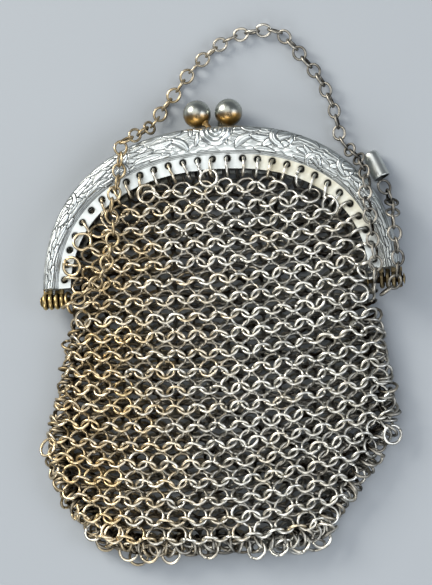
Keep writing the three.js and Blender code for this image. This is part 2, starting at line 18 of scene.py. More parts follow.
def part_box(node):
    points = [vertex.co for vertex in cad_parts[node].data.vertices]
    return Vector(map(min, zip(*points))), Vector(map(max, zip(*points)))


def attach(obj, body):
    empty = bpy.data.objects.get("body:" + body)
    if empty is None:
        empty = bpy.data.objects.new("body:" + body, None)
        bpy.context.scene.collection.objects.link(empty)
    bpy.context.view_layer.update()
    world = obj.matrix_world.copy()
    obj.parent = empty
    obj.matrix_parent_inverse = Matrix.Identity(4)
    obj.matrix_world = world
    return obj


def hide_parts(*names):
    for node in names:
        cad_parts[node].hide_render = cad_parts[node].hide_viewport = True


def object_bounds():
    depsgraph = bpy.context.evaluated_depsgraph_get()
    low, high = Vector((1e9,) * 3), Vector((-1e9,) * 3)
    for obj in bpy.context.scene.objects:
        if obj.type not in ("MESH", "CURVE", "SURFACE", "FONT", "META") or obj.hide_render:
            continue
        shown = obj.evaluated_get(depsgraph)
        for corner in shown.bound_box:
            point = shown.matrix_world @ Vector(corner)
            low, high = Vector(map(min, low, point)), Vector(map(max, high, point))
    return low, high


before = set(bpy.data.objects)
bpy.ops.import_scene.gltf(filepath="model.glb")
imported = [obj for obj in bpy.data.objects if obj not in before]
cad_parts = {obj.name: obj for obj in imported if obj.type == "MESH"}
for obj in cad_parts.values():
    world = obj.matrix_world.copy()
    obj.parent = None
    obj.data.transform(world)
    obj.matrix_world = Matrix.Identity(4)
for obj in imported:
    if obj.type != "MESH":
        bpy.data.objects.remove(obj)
CAD_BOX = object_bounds()

LOG = logging.getLogger("purse")
MM = 0.001
PICTURE_HEIGHT = 585
# Painted shade on the wires' flanks, with some soil: how dark it gets, and how far up a wire faces where it
# stays bright and where it is darkest.
FLANK_SHADE_AND_GRIME = 0.36
FLANK_BRIGHT_FACING, FLANK_DARK_FACING = 0.8, 0.15


def linear(code: str) -> tuple[float, float, float, float]:
    """Turns an sRGB hex colour to linear light.

    Args:
        code: The colour, as in "#c8c2b0".

    Returns:
        Red, green, blue and an alpha of one.
    """
    shares = [int(code[i:i + 2], 16) / 255 for i in (1, 3, 5)]
    red, green, blue = (c / 12.92 if c <= 0.04045 else ((c + 0.055) / 1.055) ** 2.4 for c in shares)
    return red, green, blue, 1.0


def add_node(tree: bpy.types.NodeTree, kind: str, settings: dict[str, Any] | None = None,
             links: dict[Any, Any] | None = None) -> bpy.types.Node:
    """Adds one node with its settings and what feeds it.

    Args:
        tree: The material's node tree.
        kind: The node's type name.
        settings: Properties by name, or input values by an index or a capitalised socket name.
        links: Output sockets by the input that each one feeds.

    Returns:
        The new node.
    """
    node = tree.nodes.new(kind)
    for key, value in (settings or {}).items():
        if isinstance(key, int) or key[0].isupper():
            node.inputs[key].default_value = value
        else:
            setattr(node, key, value)
    for key, socket in (links or {}).items():
        tree.links.new(socket, node.inputs[key])
    return node


def bare_material(name: str) -> bpy.types.Material:
    """Makes a material whose node tree is empty.

    Args:
        name: Its name.

    Returns:
        The new material.
    """
    material = bpy.data.materials.new(name)
    material.use_nodes = True
    material.node_tree.nodes.clear()
    return material


def show(name: str, data: Any) -> bpy.types.Object:
    """Puts a mesh, a light or a camera in the scene.

    Args:
        name: The object's name.
        data: The mesh, light or camera.

    Returns:
        The new object.
    """
    made = bpy.data.objects.new(name, data)
    bpy.context.scene.collection.objects.link(made)
    return made


def smooth_step(low: float, high: float, value: np.ndarray) -> np.ndarray:
    """Rises smoothly from 0 at low to 1 at high."""
    share = np.clip((value - low) / (high - low), 0, 1)
    return share * share * (3 - 2 * share)


@dataclass(frozen=True)
class Placement:
    """Where the purse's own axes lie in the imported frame, read from the two hinge pins."""

    origin: np.ndarray

    @classmethod
    def from_frame(cls) -> "Placement":
        """Finds the middle of the hinge axis.

        Returns:
            The placement, with its origin in millimetres.
        """
        left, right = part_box("left_hinge_pin"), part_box("right_hinge_pin")
        across = (left[0][0] + right[1][0]) / 2
        along, up = ((left[0][k] + left[1][k]) / 2 for k in (1, 2))
        return cls(np.array([across, along, up]) / MM)

    def metres(self, points: np.ndarray) -> np.ndarray:
        """Turns the purse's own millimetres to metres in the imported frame."""
        return (np.asarray(points, float) + self.origin) * MM


PLACE = Placement.from_frame()


@dataclass
class Shell:
    """One stretch of surface, with what its finish varies by.

    Attributes:
        points: Places in the purse's own millimetres, one row each.
        faces: One array of corner numbers for each number of corners.
        tarnish_and_shade: How dark each point is, from 0 on rubbed metal to 1 in a grimy hollow or in deep
            painted shade.
        warmth: How yellow each point is, from 0 to 1.
        finish: The number of its material on the piece.
    """

    points: np.ndarray
    faces: list[np.ndarray]
    tarnish_and_shade: np.ndarray | float = 0.0
    warmth: np.ndarray | float = 0.0
    finish: int = 0


def make_piece(name: str, shells: Sequence[Shell], finishes: Sequence[bpy.types.Material],
               replaces: Sequence[str] = ()) -> bpy.types.Object:
    """Joins shells into one smooth mesh that rides on the purse.

    Args:
        name: The piece's name.
        shells: What it is made of.
        finishes: Its materials, by the numbers in the shells.
        replaces: The CAD nodes that it stands for.

    Returns:
        The new object.
    """
    points, sizes, corners, numbers, tarnish_and_shade, warmth = [], [], [], [], [], []
    start = 0
    for shell in shells:
        count = len(shell.points)
        points.append(shell.points)
        tarnish_and_shade.append(np.broadcast_to(shell.tarnish_and_shade, count))
        warmth.append(np.broadcast_to(shell.warmth, count))
        for group in turned_outward(shell.points, shell.faces):
            corners.append((group + start).ravel())
            sizes.append(np.full(len(group), group.shape[1]))
            numbers.append(np.full(len(group), shell.finish))
        start += count
    sizes, corners = np.concatenate(sizes), np.concatenate(corners)
    mesh = bpy.data.meshes.new(name)
    mesh.vertices.add(start)
    mesh.vertices.foreach_set("co", PLACE.metres(np.concatenate(points)).astype(np.float32).ravel())
    mesh.loops.add(len(corners))
    mesh.loops.foreach_set("vertex_index", corners.astype(np.int32))
    mesh.polygons.add(len(sizes))
    mesh.polygons.foreach_set("loop_start", np.concatenate([[0], np.cumsum(sizes)[:-1]]).astype(np.int32))
    mesh.polygons.foreach_set("material_index", np.concatenate(numbers).astype(np.int32))
    # The darkness attribute holds real oxide and painted shade alike.
    for key, values in (("tarnish_and_shade", tarnish_and_shade), ("warmth", warmth)):
        layer = mesh.attributes.new(key, "FLOAT", "POINT")
        layer.data.foreach_set("value", np.clip(np.concatenate(values), 0, 1).astype(np.float32))
    mesh.update(calc_edges=True)
    mesh.validate()
    mesh.shade_smooth()
    for finish in finishes:
        mesh.materials.append(finish)
    piece = show(name, mesh)
    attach(piece, "root")
    if replaces:
        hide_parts(*replaces)
    LOG.info("%s: %d points, %d triangles", name, start, int((sizes - 2).sum()))
    return piece


def turned_outward(points: np.ndarray, groups: Sequence[np.ndarray]) -> list[np.ndarray]:
    """Turns the faces of a closed surface so that they look outward.

    Args:
        points: The surface's points.
        groups: One array of corner numbers for each number of corners.

    Returns:
        The same faces, all reversed if they enclosed less than nothing.
    """
    volume = 0.0
    for group in groups:
        first = points[group[:, 0]]
        for step in range(1, group.shape[1] - 1):
            volume += float((first * np.cross(points[group[:, step]], points[group[:, step + 1]])).sum())
    return [group[:, ::-1] if volume < 0 else group for group in groups]


def grid_faces(rows: int, columns: int, closed: bool) -> np.ndarray:
    """Numbers the quads of a grid of points.

    Args:
        rows: How many rows of points there are.
        columns: How many points each row has.
        closed: Whether the last column joins the first.

    Returns:
        One row of four corner numbers for each quad.
    """
    across = np.arange(columns if closed else columns - 1)
    beside = (across + 1) % columns
    base = np.arange(rows - 1)[:, None] * columns
    quads = np.stack([base + across, base + beside, base + columns + beside, base + columns + across], -1)
    return quads.reshape(-1, 4)


def lathe(profile: Sequence[tuple[float, float]], sides: int) -> tuple[np.ndarray, list[np.ndarray]]:
    """Turns a profile about the Z axis.

    Args:
        profile: Radius and height of each point; its two ends lie on the axis or meet.
        sides: How many points each turn has.

    Returns:
        Points and faces.
    """
    radius, height = np.array(profile, float).T
    turn = np.linspace(0, 2 * np.pi, sides, endpoint=False)
    points = np.stack([
        radius[:, None] * np.cos(turn),
        radius[:, None] * np.sin(turn),
        np.repeat(height[:, None], sides, 1),
    ], -1)
    return points.reshape(-1, 3), [grid_faces(len(radius), sides, True)]


def frame_along(direction: np.ndarray, near: np.ndarray) -> np.ndarray:
    """Makes a rotation that looks along a direction.

    Args:
        direction: What its third column follows.
        near: What its first column is close to.

    Returns:
        The rotation.
    """
    third = direction / np.linalg.norm(direction)
    first = near - third * (near @ third)
    first /= np.linalg.norm(first)
    return np.stack([first, np.cross(third, first), third], 1)


def run_along(line: np.ndarray) -> np.ndarray:
    """Measures how far along a line each of its points lies."""
    return np.concatenate([[0], np.cumsum(np.linalg.norm(np.diff(line, axis=0), axis=1))])


def rounded(knots: Sequence[Sequence[float]], steps: int) -> np.ndarray:
    """Runs a smooth Catmull-Rom line through knots.

    Args:
        knots: The points that it passes.
        steps: How many points it has between two knots.

    Returns:
        Points along the line, both ends included.
    """
    ends = np.array(knots, float)
    padded = np.vstack([2 * ends[0] - ends[1], ends, 2 * ends[-1] - ends[-2]])
    share = np.linspace(0, 1, steps, endpoint=False)[:, None]
    line = []
    for a, b, c, d in zip(padded, padded[1:], padded[2:], padded[3:]):
        line.append(0.5 * (2 * b + (c - a) * share + (2 * a - 5 * b + 4 * c - d) * share ** 2
                           + (3 * b - a - 3 * c + d) * share ** 3))
    return np.vstack([*line, ends[-1:]])


@dataclass(frozen=True)
class WireRing:
    """A round or oval ring of bent wire with its two ends butted together.

    Attributes:
        long: Half the wire's centre line the long way, in millimetres.
        short: Half the wire's centre line the short way.
        wire: The wire's radius.
        seam: The opening between its ends, in degrees.
        offset: How far the two ends miss each other sideways.
        steps: Points along the wire.
        sides: Points round the wire.
    """

    long: float
    short: float
    wire: float
    seam: float = 3.0
    offset: float = 0.1
    steps: int = 22
    sides: int = 6

    def template(self) -> tuple[np.ndarray, np.ndarray, list[np.ndarray]]:
        """Makes one ring lying flat round the origin.

        Returns:
            Points, the outward direction of the wire at each point, and faces.
        """
        gap = math.radians(self.seam)
        turn = np.linspace(gap / 2, 2 * np.pi - gap / 2, self.steps + 1)
        centre = np.stack([self.long * np.cos(turn), self.short * np.sin(turn),
                           self.offset * (turn / (2 * np.pi) - 0.5)], -1)
        outward = np.stack([self.short * np.cos(turn), self.long * np.sin(turn), np.zeros_like(turn)], -1)
        outward /= np.linalg.norm(outward, axis=1)[:, None]
        around = np.linspace(0, 2 * np.pi, self.sides, endpoint=False)
        up = np.array([0.0, 0.0, 1.0])
        normal = np.cos(around)[None, :, None] * outward[:, None] + np.sin(around)[None, :, None] * up
        points = centre[:, None] + self.wire * normal
        caps = np.stack([np.arange(self.sides)[::-1], self.steps * self.sides + np.arange(self.sides)])
        faces = [grid_faces(self.steps + 1, self.sides, True), caps]
        return points.reshape(-1, 3), normal.reshape(-1, 3), faces

    def placed(self, centres: np.ndarray, turns: np.ndarray,
               sizes: np.ndarray) -> tuple[np.ndarray, np.ndarray, list[np.ndarray]]:
        """Copies the ring to many places.

        Args:
            centres: The middle of each ring.
            turns: A rotation for each ring.
            sizes: A scale for each ring's width, which leaves its wire as it is.

        Returns:
            Points, one block of equal length for each ring, the wire's outward direction at each,
            and faces.
        """
        points, normal, faces = self.template()
        middle = points - self.wire * normal
        local = middle[None] * sizes[:, None, None] + self.wire * normal[None]
        placed = np.einsum("nij,npj->npi", turns, local) + centres[:, None]
        outward = np.einsum("nij,pj->npi", turns, normal)
        starts = np.arange(len(centres)) * len(points)
        return placed.reshape(-1, 3), outward.reshape(-1, 3), [
            (group[None] + starts[:, None, None]).reshape(-1, group.shape[1]) for group in faces
        ]


def flank_shade_and_grime(facing: np.ndarray, up: Any = (0.0, 0.0, 1.0)) -> np.ndarray:
    """Darkens a wire's flanks with painted shade and some soil: little where it faces up, where light falls
    and it is rubbed.

    Args:
        facing: The wire's outward direction at each point.
        up: The direction that the wire's bright side faces, where light falls and hands and tables rub, one
            for all or one for each point.

    Returns:
        The painted shade and soil at each point.
    """
    return FLANK_SHADE_AND_GRIME * smooth_step(FLANK_BRIGHT_FACING, FLANK_DARK_FACING, (facing * np.asarray(up)).sum(1))


@dataclass(frozen=True)
class Arch:
    """The frame's outline, a superellipse standing on the hinge line.

    Attributes:
        half_width: Half its width at the outer edge, in millimetres.
        height: Its height over the hinge axis.
        power: The superellipse's power.
        leg_end: How far over the hinge axis the legs end.
        band_side: The band's width at the legs.
        band_top: The band's width at the top.
        flange_side: The flange's width at the legs.
        flange_top: The flange's width at the top.
        rim: How far the outer edge stands out past the common outline.
    """

    half_width: float = 38.6
    height: float = 35.6
    power: float = 2.3
    leg_end: float = 2.2
    band_side: float = 3.3
    band_top: float = 6.1
    flange_side: float = 2.9
    flange_top: float = 3.4
    rim: float = 0.0

    def point(self, across: Any, share: Any) -> np.ndarray:
        """Finds places on the arch.

        Args:
            across: 0 at the outer edge, 1 at the crease and 2 at the flange's inner edge.
            share: 0 at the right leg's end and 1 at the left leg's end.

        Returns:
            X and Y of each place.
        """
        across, share = np.broadcast_arrays(np.asarray(across, float), np.asarray(share, float))
        band, flange = np.minimum(across, 1), np.maximum(across - 1, 0)
        rim = self.rim * (1 - band)
        a = self.half_width + rim - band * self.band_side - flange * self.flange_side
        b = self.height + rim - band * self.band_top - flange * self.flange_top
        start = np.arcsin((self.leg_end / b) ** (self.power / 2))
        turn = start + (np.pi - 2 * start) * share
        x = np.sign(np.cos(turn)) * np.abs(np.cos(turn)) ** (2 / self.power) * a
        return np.stack([x, b * np.sin(turn) ** (2 / self.power)], -1)

    def lengths(self, across: float) -> tuple[np.ndarray, np.ndarray]:
        """Measures along one line of the arch.

        Args:
            across: Which line, as in point().

        Returns:
            Lengths from the top, positive to the right and falling, and the share at each.
        """
        share = np.linspace(0, 1, 4001)
        line = self.point(across, share)
        run = run_along(line)
        return run[-1] / 2 - run, share

    def share_at(self, across: float, length: Any) -> np.ndarray:
        """Finds the share at lengths from the top, positive to the right."""
        lengths, share = self.lengths(across)
        return np.interp(-np.asarray(length, float), -lengths, share)


@dataclass(frozen=True)
class Leaf:
    """One chased leaf or stem on the band laid flat.

    Attributes:
        along: How far its root lies from the top, in millimetres.
        across: Its root's place from the crease (0) to the outer edge (1).
        heading: Which way it sets out, in degrees: 0 away from the top, 90 to the outer edge.
        length: The length of its spine in millimetres.
        width: Its greatest width in millimetres.
        bend: How far it turns over its length, in degrees.
        curl: Over 1, it turns most near its tip.
        rise: How far it stands up, against the common relief.
    """

    along: float
    across: float
    heading: float
    length: float
    width: float
    bend: float
    curl: float = 1.0
    rise: float = 1.0

    def spine(self, band_width: Callable[[float], float], side: int) -> np.ndarray:
        """Walks the spine from its root.

        Args:
            band_width: Gives the band's width at a length from the top.
            side: 1 to the right of the top, or -1 for the mirror image to the left.

        Returns:
            Lengths from the top and distances from the crease, one row for each point.
        """
        steps = 16
        share = (np.arange(steps) + 0.5) / steps
        turn = np.radians(self.heading + self.bend * share ** self.curl)
        shrink = 1.3 - 0.6 * share if abs(self.bend) > 200 else np.ones(steps)
        move = np.stack([np.cos(turn), np.sin(turn)], -1) * (self.length / steps) * shrink[:, None]
        root = np.array([self.along, self.across * band_width(self.along)])
        walk = np.vstack([root, root + np.cumsum(move, axis=0)])
        walk[:, 0] *= side
        return walk


@dataclass
class Chasing:
    """Scrolls and leaves pressed into the band and outlined with a chasing tool.

    Attributes:
        along: Each row's length from the top in millimetres, positive to the right.
        across: Each point's distance from the crease in millimetres.
        width: The band's width at each row.
        relief: How far the leaves stand up, in millimetres.
        cut: How deep the chased lines go.
        line: Half the width of a chased line.
        raised: How far each point is raised so far, as a share of the relief.
        lines: How deep each point is cut so far, as a share of the cut.
    """

    along: np.ndarray
    across: np.ndarray
    width: np.ndarray
    relief: float = 0.26
    cut: float = 0.16
    line: float = 0.1
    raised: np.ndarray = field(init=False)
    lines: np.ndarray = field(init=False)

    def __post_init__(self) -> None:
        """Starts from a bare band."""
        self.raised = np.zeros_like(self.across)
        self.lines = np.zeros_like(self.across)

    def band_width(self, along: float) -> float:
        """Gives the band's width at a length from the top."""
        return float(np.interp(along, self.along[::-1], self.width[::-1]))

    def draw(self, leaf: Leaf, side: int) -> None:
        """Raises one leaf over what lies under it and outlines it.

        Args:
            leaf: The leaf.
            side: 1 to the right of the top, -1 to the left.
        """
        spine = leaf.spine(self.band_width, side)
        reach = leaf.width / 2 + 3 * self.line
        low, high = spine.min(0) - reach, spine.max(0) + reach
        rows = np.nonzero((self.along >= low[0]) & (self.along <= high[0]))[0]
        if not len(rows):
            return
        window = slice(rows[0], rows[-1] + 1)
        flat = np.stack(np.broadcast_arrays(self.along[window, None], self.across[window]), -1)
        start, run = spine[:-1], np.diff(spine, axis=0)
        aim = np.einsum("rcsk,sk->rcs", flat[:, :, None] - start, run) / (run ** 2).sum(1)
        near = start + np.clip(aim, 0, 1)[..., None] * run
        distance = np.linalg.norm(flat[:, :, None] - near, axis=-1)
        best = distance.argmin(-1)
        gap = np.take_along_axis(distance, best[..., None], -1)[..., 0]
        share = (best + np.clip(np.take_along_axis(aim, best[..., None], -1)[..., 0], 0, 1)) / len(run)
        half = leaf.width / 2 * np.sin(np.pi * (0.06 + 0.9 * share ** 0.8)) ** 0.75
        inside = gap < half
        vein = np.exp(-(gap / (0.7 * self.line)) ** 2)
        vein = vein * smooth_step(0.0, 0.2, share) * smooth_step(1.0, 0.7, share)
        swell = leaf.rise * np.sqrt(np.clip(1 - (gap / half) ** 2, 0, 1))
        self.raised[window] = np.where(inside, swell, self.raised[window])
        old = np.where(gap < half - self.line, 0.0, self.lines[window])
        outline = np.exp(-((gap - half) / self.line) ** 2)
        self.lines[window] = np.maximum(old, np.maximum(outline, np.where(inside, 0.7 * vein, 0)))

    def draw_streams(self) -> None:
        """Presses long wavy ridges along the band with cut lines between them, as a ground."""
        share = self.across / self.width[:, None]
        along = self.along[:, None]
        for number in range(1, 8):
            sway = 0.045 * np.sin(along * 0.85 + 1.9 * number)
            sway = sway + 0.03 * np.sin(along * 2.1 + 0.7 * number ** 2)
            gap = (share - number / 8 - sway) * self.width[:, None]
            strength = 0.45 + 0.45 * np.sin(along * 0.5 + 2.3 * number)
            self.lines = np.maximum(self.lines, strength * np.exp(-(gap / self.line) ** 2))
            self.raised = np.maximum(self.raised, 0.55 * np.exp(-((gap - 0.28) / 0.2) ** 2))

    def rule(self, place: np.ndarray | float, strength: float = 1.0) -> None:
        """Cuts a line all along the band at a distance from the crease."""
        self.lines = np.maximum(self.lines, strength * np.exp(-((self.across - place) / self.line) ** 2))

    def height(self) -> np.ndarray:
        """Adds the relief and the cut lines up, in millimetres."""
        return self.relief * self.raised - self.cut * self.lines

    def tarnish_and_shade(self) -> np.ndarray:
        """Says how dark each place is: the cut lines hold grimy oxide, and the bare ground holds some."""
        ground = 0.3 * smooth_step(0.35, 0.0, self.raised)
        return np.maximum(0.95 * self.lines, ground)


def scroll_leaves(side: int) -> list[Leaf]:
    """Lists the leaves on one side of the band, from the top down to the hinge.

    Args:
        side: 1 to the right of the top, where big volutes run, or -1 to the left, where most
            leaves are long and flow along the band.

    Returns:
        Volutes that turn in and out by turns on a running stem, with leaves between them, and
        long leaves down the leg.
    """
    leaves = [
        Leaf(5.4, 0.2, 62, 5.6, 1.9, -60),
        Leaf(6.3, 0.95, -30, 4.2, 1.3, 46),
        Leaf(8.6, 0.62, -20, 5.4, 1.7, 40),
        Leaf(9.6, 0.16, 8, 4.8, 1.2, -22),
    ]
    if side > 0:
        volutes = (
            (15.4, 0.5, 1, 1.25), (23.4, 0.44, -1, 0.95), (30.6, 0.54, 1, 1.05), (37.2, 0.47, -1, 0.74),
        )
    else:
        volutes = ((21.5, 0.48, -1, 0.9), (34.5, 0.52, 1, 0.78))
        for number in range(9):
            along, hand = 11.5 + 3.3 * number, 1 if number % 2 else -1
            leaves += [
                Leaf(along, 0.5 + 0.27 * hand, -7 * hand, 7.4, 1.25, 16 * hand),
                Leaf(along + 1.5, 0.5 + 0.06 * hand, 10 * hand, 5.2, 0.9, -24 * hand),
            ]
    for along, across, hand, size in volutes:
        leaves += [
            Leaf(along - 3.1 * size, across - 0.2 * hand, 40 * hand, 7.6 * size, 1.5 * size, -20 * hand),
            Leaf(along + 1.6 * size, across + 0.36 * hand, -75 * hand, 8.8 * size, 1.25 * size,
                 -330 * hand, 0.9),
            Leaf(along + 0.1, across, 0, 1.3 * size, 1.2 * size, 0, 1.0, 1.25),
            Leaf(along + 2.4 * size, across + 0.34 * hand, 20 * hand, 4.4 * size, 1.2 * size, -55 * hand),
            Leaf(along + 3.0 * size, across - 0.05 * hand, -5 * hand, 4.6 * size, 1.4 * size, 28 * hand),
            Leaf(along + 2.6 * size, across - 0.36 * hand, -8 * hand, 4.0 * size, 1.05 * size, 20 * hand),
        ]
    for number in range(6):
        along = 39.0 + 2.4 * number
        hand = 1 if number % 2 else -1
        leaves += [
            Leaf(along, 0.5 + 0.22 * hand, -9 * hand, 6.2, 1.0, 14 * hand),
            Leaf(along + 1.2, 0.5 - 0.05 * hand, 16 * hand, 3.8, 0.75, -30 * hand),
        ]
    return leaves


def shell_leaves() -> list[Leaf]:
    """Lists the leaves that fan out round the shell at the top of the band."""
    return [
        Leaf(3.6, 0.3, 120, 3.4, 0.9, -36),
        Leaf(4.4, 0.66, 100, 2.6, 0.9, -20),
    ]


@dataclass
class FrameHalf:
    """One half of the frame: a chased band, a pierced flange, end walls and hinge barrels.

    Attributes:
        node: The CAD node that it replaces.
        arch: The outline.
        parity: Which barrels are its own, 0 or 1.
        turned: Whether it lies face down behind the other half.
        step: The mesh's step along the band, in millimetres.
        sheet: The sheet's thickness.
        flange_face: How high the flange's face lies over the middle.
        crest: How high the band's crest lies.
        halves_gap: How far the lip's edge stays off the middle.
        hole_radius: The radius of a sewing hole.
        hole_pitch: The distance between sewing holes.
        hole_line: The line of the arch along which the pitch is measured.
        hole_inset: How far the holes lie in from the crease, at the legs and at the top.
        holes_a_side: How many holes lie on either side of the top one.
        tuck: The line of the arch where the flange ends, under the band.
        barrel_inset: How far inside the outer edge the first barrel starts.
        barrel_radius: A barrel's greatest radius.
        barrel_width: Its width along the pin.
        barrel_gap: The gap between barrels.
        barrels: How many barrels both halves have at a hinge.
        columns: How many points the band's face has across it.
    """

    node: str
    arch: Arch
    parity: int
    turned: bool
    step: float
    sheet: float = 0.65
    flange_face: float = 3.2
    crest: float = 4.1
    halves_gap: float = 0.15
    hole_radius: float = 0.68
    hole_pitch: float = 3.3
    hole_line: float = 1.42
    hole_inset: tuple[float, float] = (1.5, 1.2)
    holes_a_side: int = 14
    tuck: float = 0.97
    barrel_inset: float = 4.2
    barrel_radius: float = 1.9
    barrel_width: float = 0.98
    barrel_gap: float = 0.3
    barrels: int = 4
    columns: int = 46

    def section(self) -> np.ndarray:
        """Draws the band's face across it, smooth through its knots.

        Returns:
            Places from the crease (0) to the outer edge (1) and past it, and the height of each.
        """
        shares = [(1.14, 0.76), (1.03, 0.8), (1.0, 0.845), (0.9, 0.885), (0.72, 0.955), (0.5, 1.0),
                  (0.3, 0.975), (0.16, 0.91), (0.06, 0.8), (0.0, 0.66)]
        line = rounded(shares, 8)
        return line[::-1] * (1, self.crest)

    def band(self) -> Shell:
        """Lofts the band along the arch, its face chased and its underside plain.

        Returns:
            The band's shell, of the sheet's finish.
        """
        half = self.arch.lengths(0.5)[0][0]
        rows = int(2 * half / self.step)
        along = np.linspace(half, -half, rows)
        share = self.arch.share_at(0.5, along)[:, None]
        across = np.linspace(1.1, 0.0, self.columns)[None, :]
        outer, crease = self.arch.point(0.0, share[:, 0]), self.arch.point(1.0, share[:, 0])
        width = np.linalg.norm(outer - crease, axis=1)
        chasing = Chasing(along, (1 - across) * width[:, None], width)
        chasing.draw_streams()
        for side in (1, -1):
            for leaf in scroll_leaves(-side if self.turned else side):
                chasing.draw(leaf, side)
            for leaf in shell_leaves():
                chasing.draw(leaf, side)
        self.draw_shell(chasing)
        for place in (0.12, 0.42):
            chasing.rule(place, 0.9)
        chasing.rule(width[:, None] - 0.32, 0.8)
        line = self.section()
        face = np.interp(across, line[:, 0], line[:, 1])
        fade = smooth_step(1.04, 0.97, across) * smooth_step(0.0, 0.05, across)
        height = face + fade * chasing.height()
        flat = self.arch.point(np.broadcast_to(across, height.shape), np.broadcast_to(share, height.shape))
        top = np.concatenate([flat, height[..., None]], -1)
        tarnish_and_shade = np.where(across > 1.02, 0.5, chasing.tarnish_and_shade())
        under = []
        lip = [(0.0, 0.0, 1.9), (0.0, 0.0, 1.1), (0.0, 0.06, self.halves_gap),
               (0.0, self.sheet, self.halves_gap), (0.0, self.sheet, 2.0), (0.22, 0.1, 3.2),
               (0.5, 0.0, self.crest - self.sheet), (0.84, 0.0, 3.05), (1.1, 0.0, 2.56)]
        for place, inset, level in lip:
            moved = replace(self.arch, half_width=self.arch.half_width - inset,
                            height=self.arch.height - inset)
            line_xy = moved.point(place, share[:, 0])
            under.append(np.concatenate([line_xy, np.full((rows, 1), level)], -1))
        under = np.stack(under, 1)
        points = np.concatenate([top, under], 1)
        shade = np.concatenate([tarnish_and_shade, np.full((rows, len(lip)), 0.45)], 1)
        count = points.shape[1]
        ends = np.stack([np.arange(count), (rows - 1) * count + np.arange(count)[::-1]])
        return Shell(points.reshape(-1, 3), [grid_faces(rows, count, True), ends], shade.ravel())

    def draw_shell(self, chasing: Chasing) -> None:
        """Chases the nested arcs of the shell at the top of the band, over the leaves.

        Args:
            chasing: The band's chasing, which it changes.
        """
        centre = np.array([1.0, 0.86 * self.arch.band_top])
        dx = chasing.along[:, None] - centre[0]
        dy = (chasing.across - centre[1]) * 0.92
        radius = np.hypot(dx, dy)
        inside = smooth_step(3.5, 3.3, radius)
        ribs = 0.5 + 0.5 * np.cos(2 * np.pi * radius / 0.92)
        chasing.raised = chasing.raised * (1 - inside) + inside * (0.35 + 0.75 * ribs)
        arcs = np.zeros_like(radius)
        for place in (0.5, 1.42, 2.34, 3.42):
            arcs = np.maximum(arcs, np.exp(-((radius - place) / chasing.line) ** 2))
        chasing.lines = chasing.lines * (1 - inside) + arcs

    def flange(self) -> Shell:
        """Makes the flat flange round its sewing holes, one cell of mesh to each hole.

        Returns:
            The flange's shell, of the sheet's finish.
        """
        sides = 7
        shares = self.hole_shares()
        bounds = [0.0, *[(a + b) / 2 for a, b in zip(shares, shares[1:])], 1.0]
        points, faces, tarnish_and_shade = [], [], []
        for share, low, high in zip(shares, bounds, bounds[1:]):
            hole = self.hole_place(share)
            along = np.linspace(low, high, sides + 1)
            over = np.linspace(2.0, self.tuck, sides + 1)
            rim = np.vstack([
                self.arch.point(2.0, along)[:-1], self.arch.point(over, high)[:-1],
                self.arch.point(self.tuck, along[::-1])[:-1], self.arch.point(over[::-1], low)[:-1],
            ])
            away = rim - hole
            away /= np.linalg.norm(away, axis=1)[:, None]
            top, bottom = self.flange_face, self.flange_face - self.sheet
            loops = [
                (hole + away * (self.hole_radius + 0.05), bottom, 0.9),
                (hole + away * self.hole_radius, bottom + 0.08, 1.0),
                (hole + away * self.hole_radius, top - 0.08, 1.0),
                (hole + away * (self.hole_radius + 0.07), top, 0.75),
                (hole + away * (self.hole_radius + 0.3), top, 0.25),
                (rim - away * 0.1, top, 0.12),
                (rim, top, 0.12),
            ]
            start = sum(len(p) for p in points)
            count = len(rim)
            for flat, level, dark in loops:
                points.append(np.column_stack([flat, np.full(count, level)]))
                tarnish_and_shade.append(np.full(count, dark))
            points.append(np.column_stack([rim, np.full(count, bottom)]))
            tarnish_and_shade.append(np.full(count, 0.4))
            faces.append(grid_faces(len(loops), count, True) + start)
            last = len(loops) * count + start
            around = np.arange(count)
            beside = (around + 1) % count
            faces.append(np.stack([start + beside, start + around, last + around, last + beside], -1))
            for edge in (range(0, sides), range(2 * sides, 3 * sides)):
                edge = np.array(edge)
                upper = start + (len(loops) - 1) * count
                faces.append(np.stack([upper + edge, upper + (edge + 1) % count,
                                       last + (edge + 1) % count, last + edge], -1))
        flat_points = np.vstack(points)
        keys, back = np.unique(np.round(flat_points, 4), axis=0, return_inverse=True)
        shade = np.zeros(len(keys))
        shade[back.ravel()] = np.concatenate(tarnish_and_shade)
        tint = 0.4 * smooth_step(3.0, 12.0, keys[:, 0]) * smooth_step(6.0, 12.0, keys[:, 1])
        return Shell(keys, [back.ravel()[np.vstack(faces)]], shade, tint)

    def hole_place(self, share: float) -> np.ndarray:
        """Gives the middle of the sewing hole at a share of the arch."""
        side, top = self.arch.band_side + self.hole_inset[0], self.arch.band_top + self.hole_inset[1]
        return replace(self.arch, band_side=side, band_top=top).point(1.0, share)

    def hole_shares(self) -> list[float]:
        """Spaces the sewing holes along the arch, from the right leg to the left."""
        numbers = range(self.holes_a_side, -self.holes_a_side - 1, -1)
        return [float(self.arch.share_at(self.hole_line, n * self.hole_pitch)) for n in numbers]

    def holes(self) -> np.ndarray:
        """Lists the middles of all sewing holes, from the right leg to the left."""
        return np.array([self.hole_place(share) for share in self.hole_shares()])

    def end_wall(self, side: int) -> Shell:
        """Closes a leg's end with a small plate whose edges are rounded over.

        Args:
            side: 1 at the right leg, -1 at the left.

        Returns:
            The plate's shell, of the sheet's finish.
        """
        inner = float(self.arch.point(2.0, 0.0)[0])
        low = np.array([inner + self.sheet, self.arch.leg_end, self.halves_gap])
        high = np.array([self.arch.half_width - self.sheet, self.arch.leg_end + 1.0, self.flange_face])
        points, faces = rounded_block(low, high, 0.18)
        return Shell(points * (side, 1, 1), faces, 0.35)

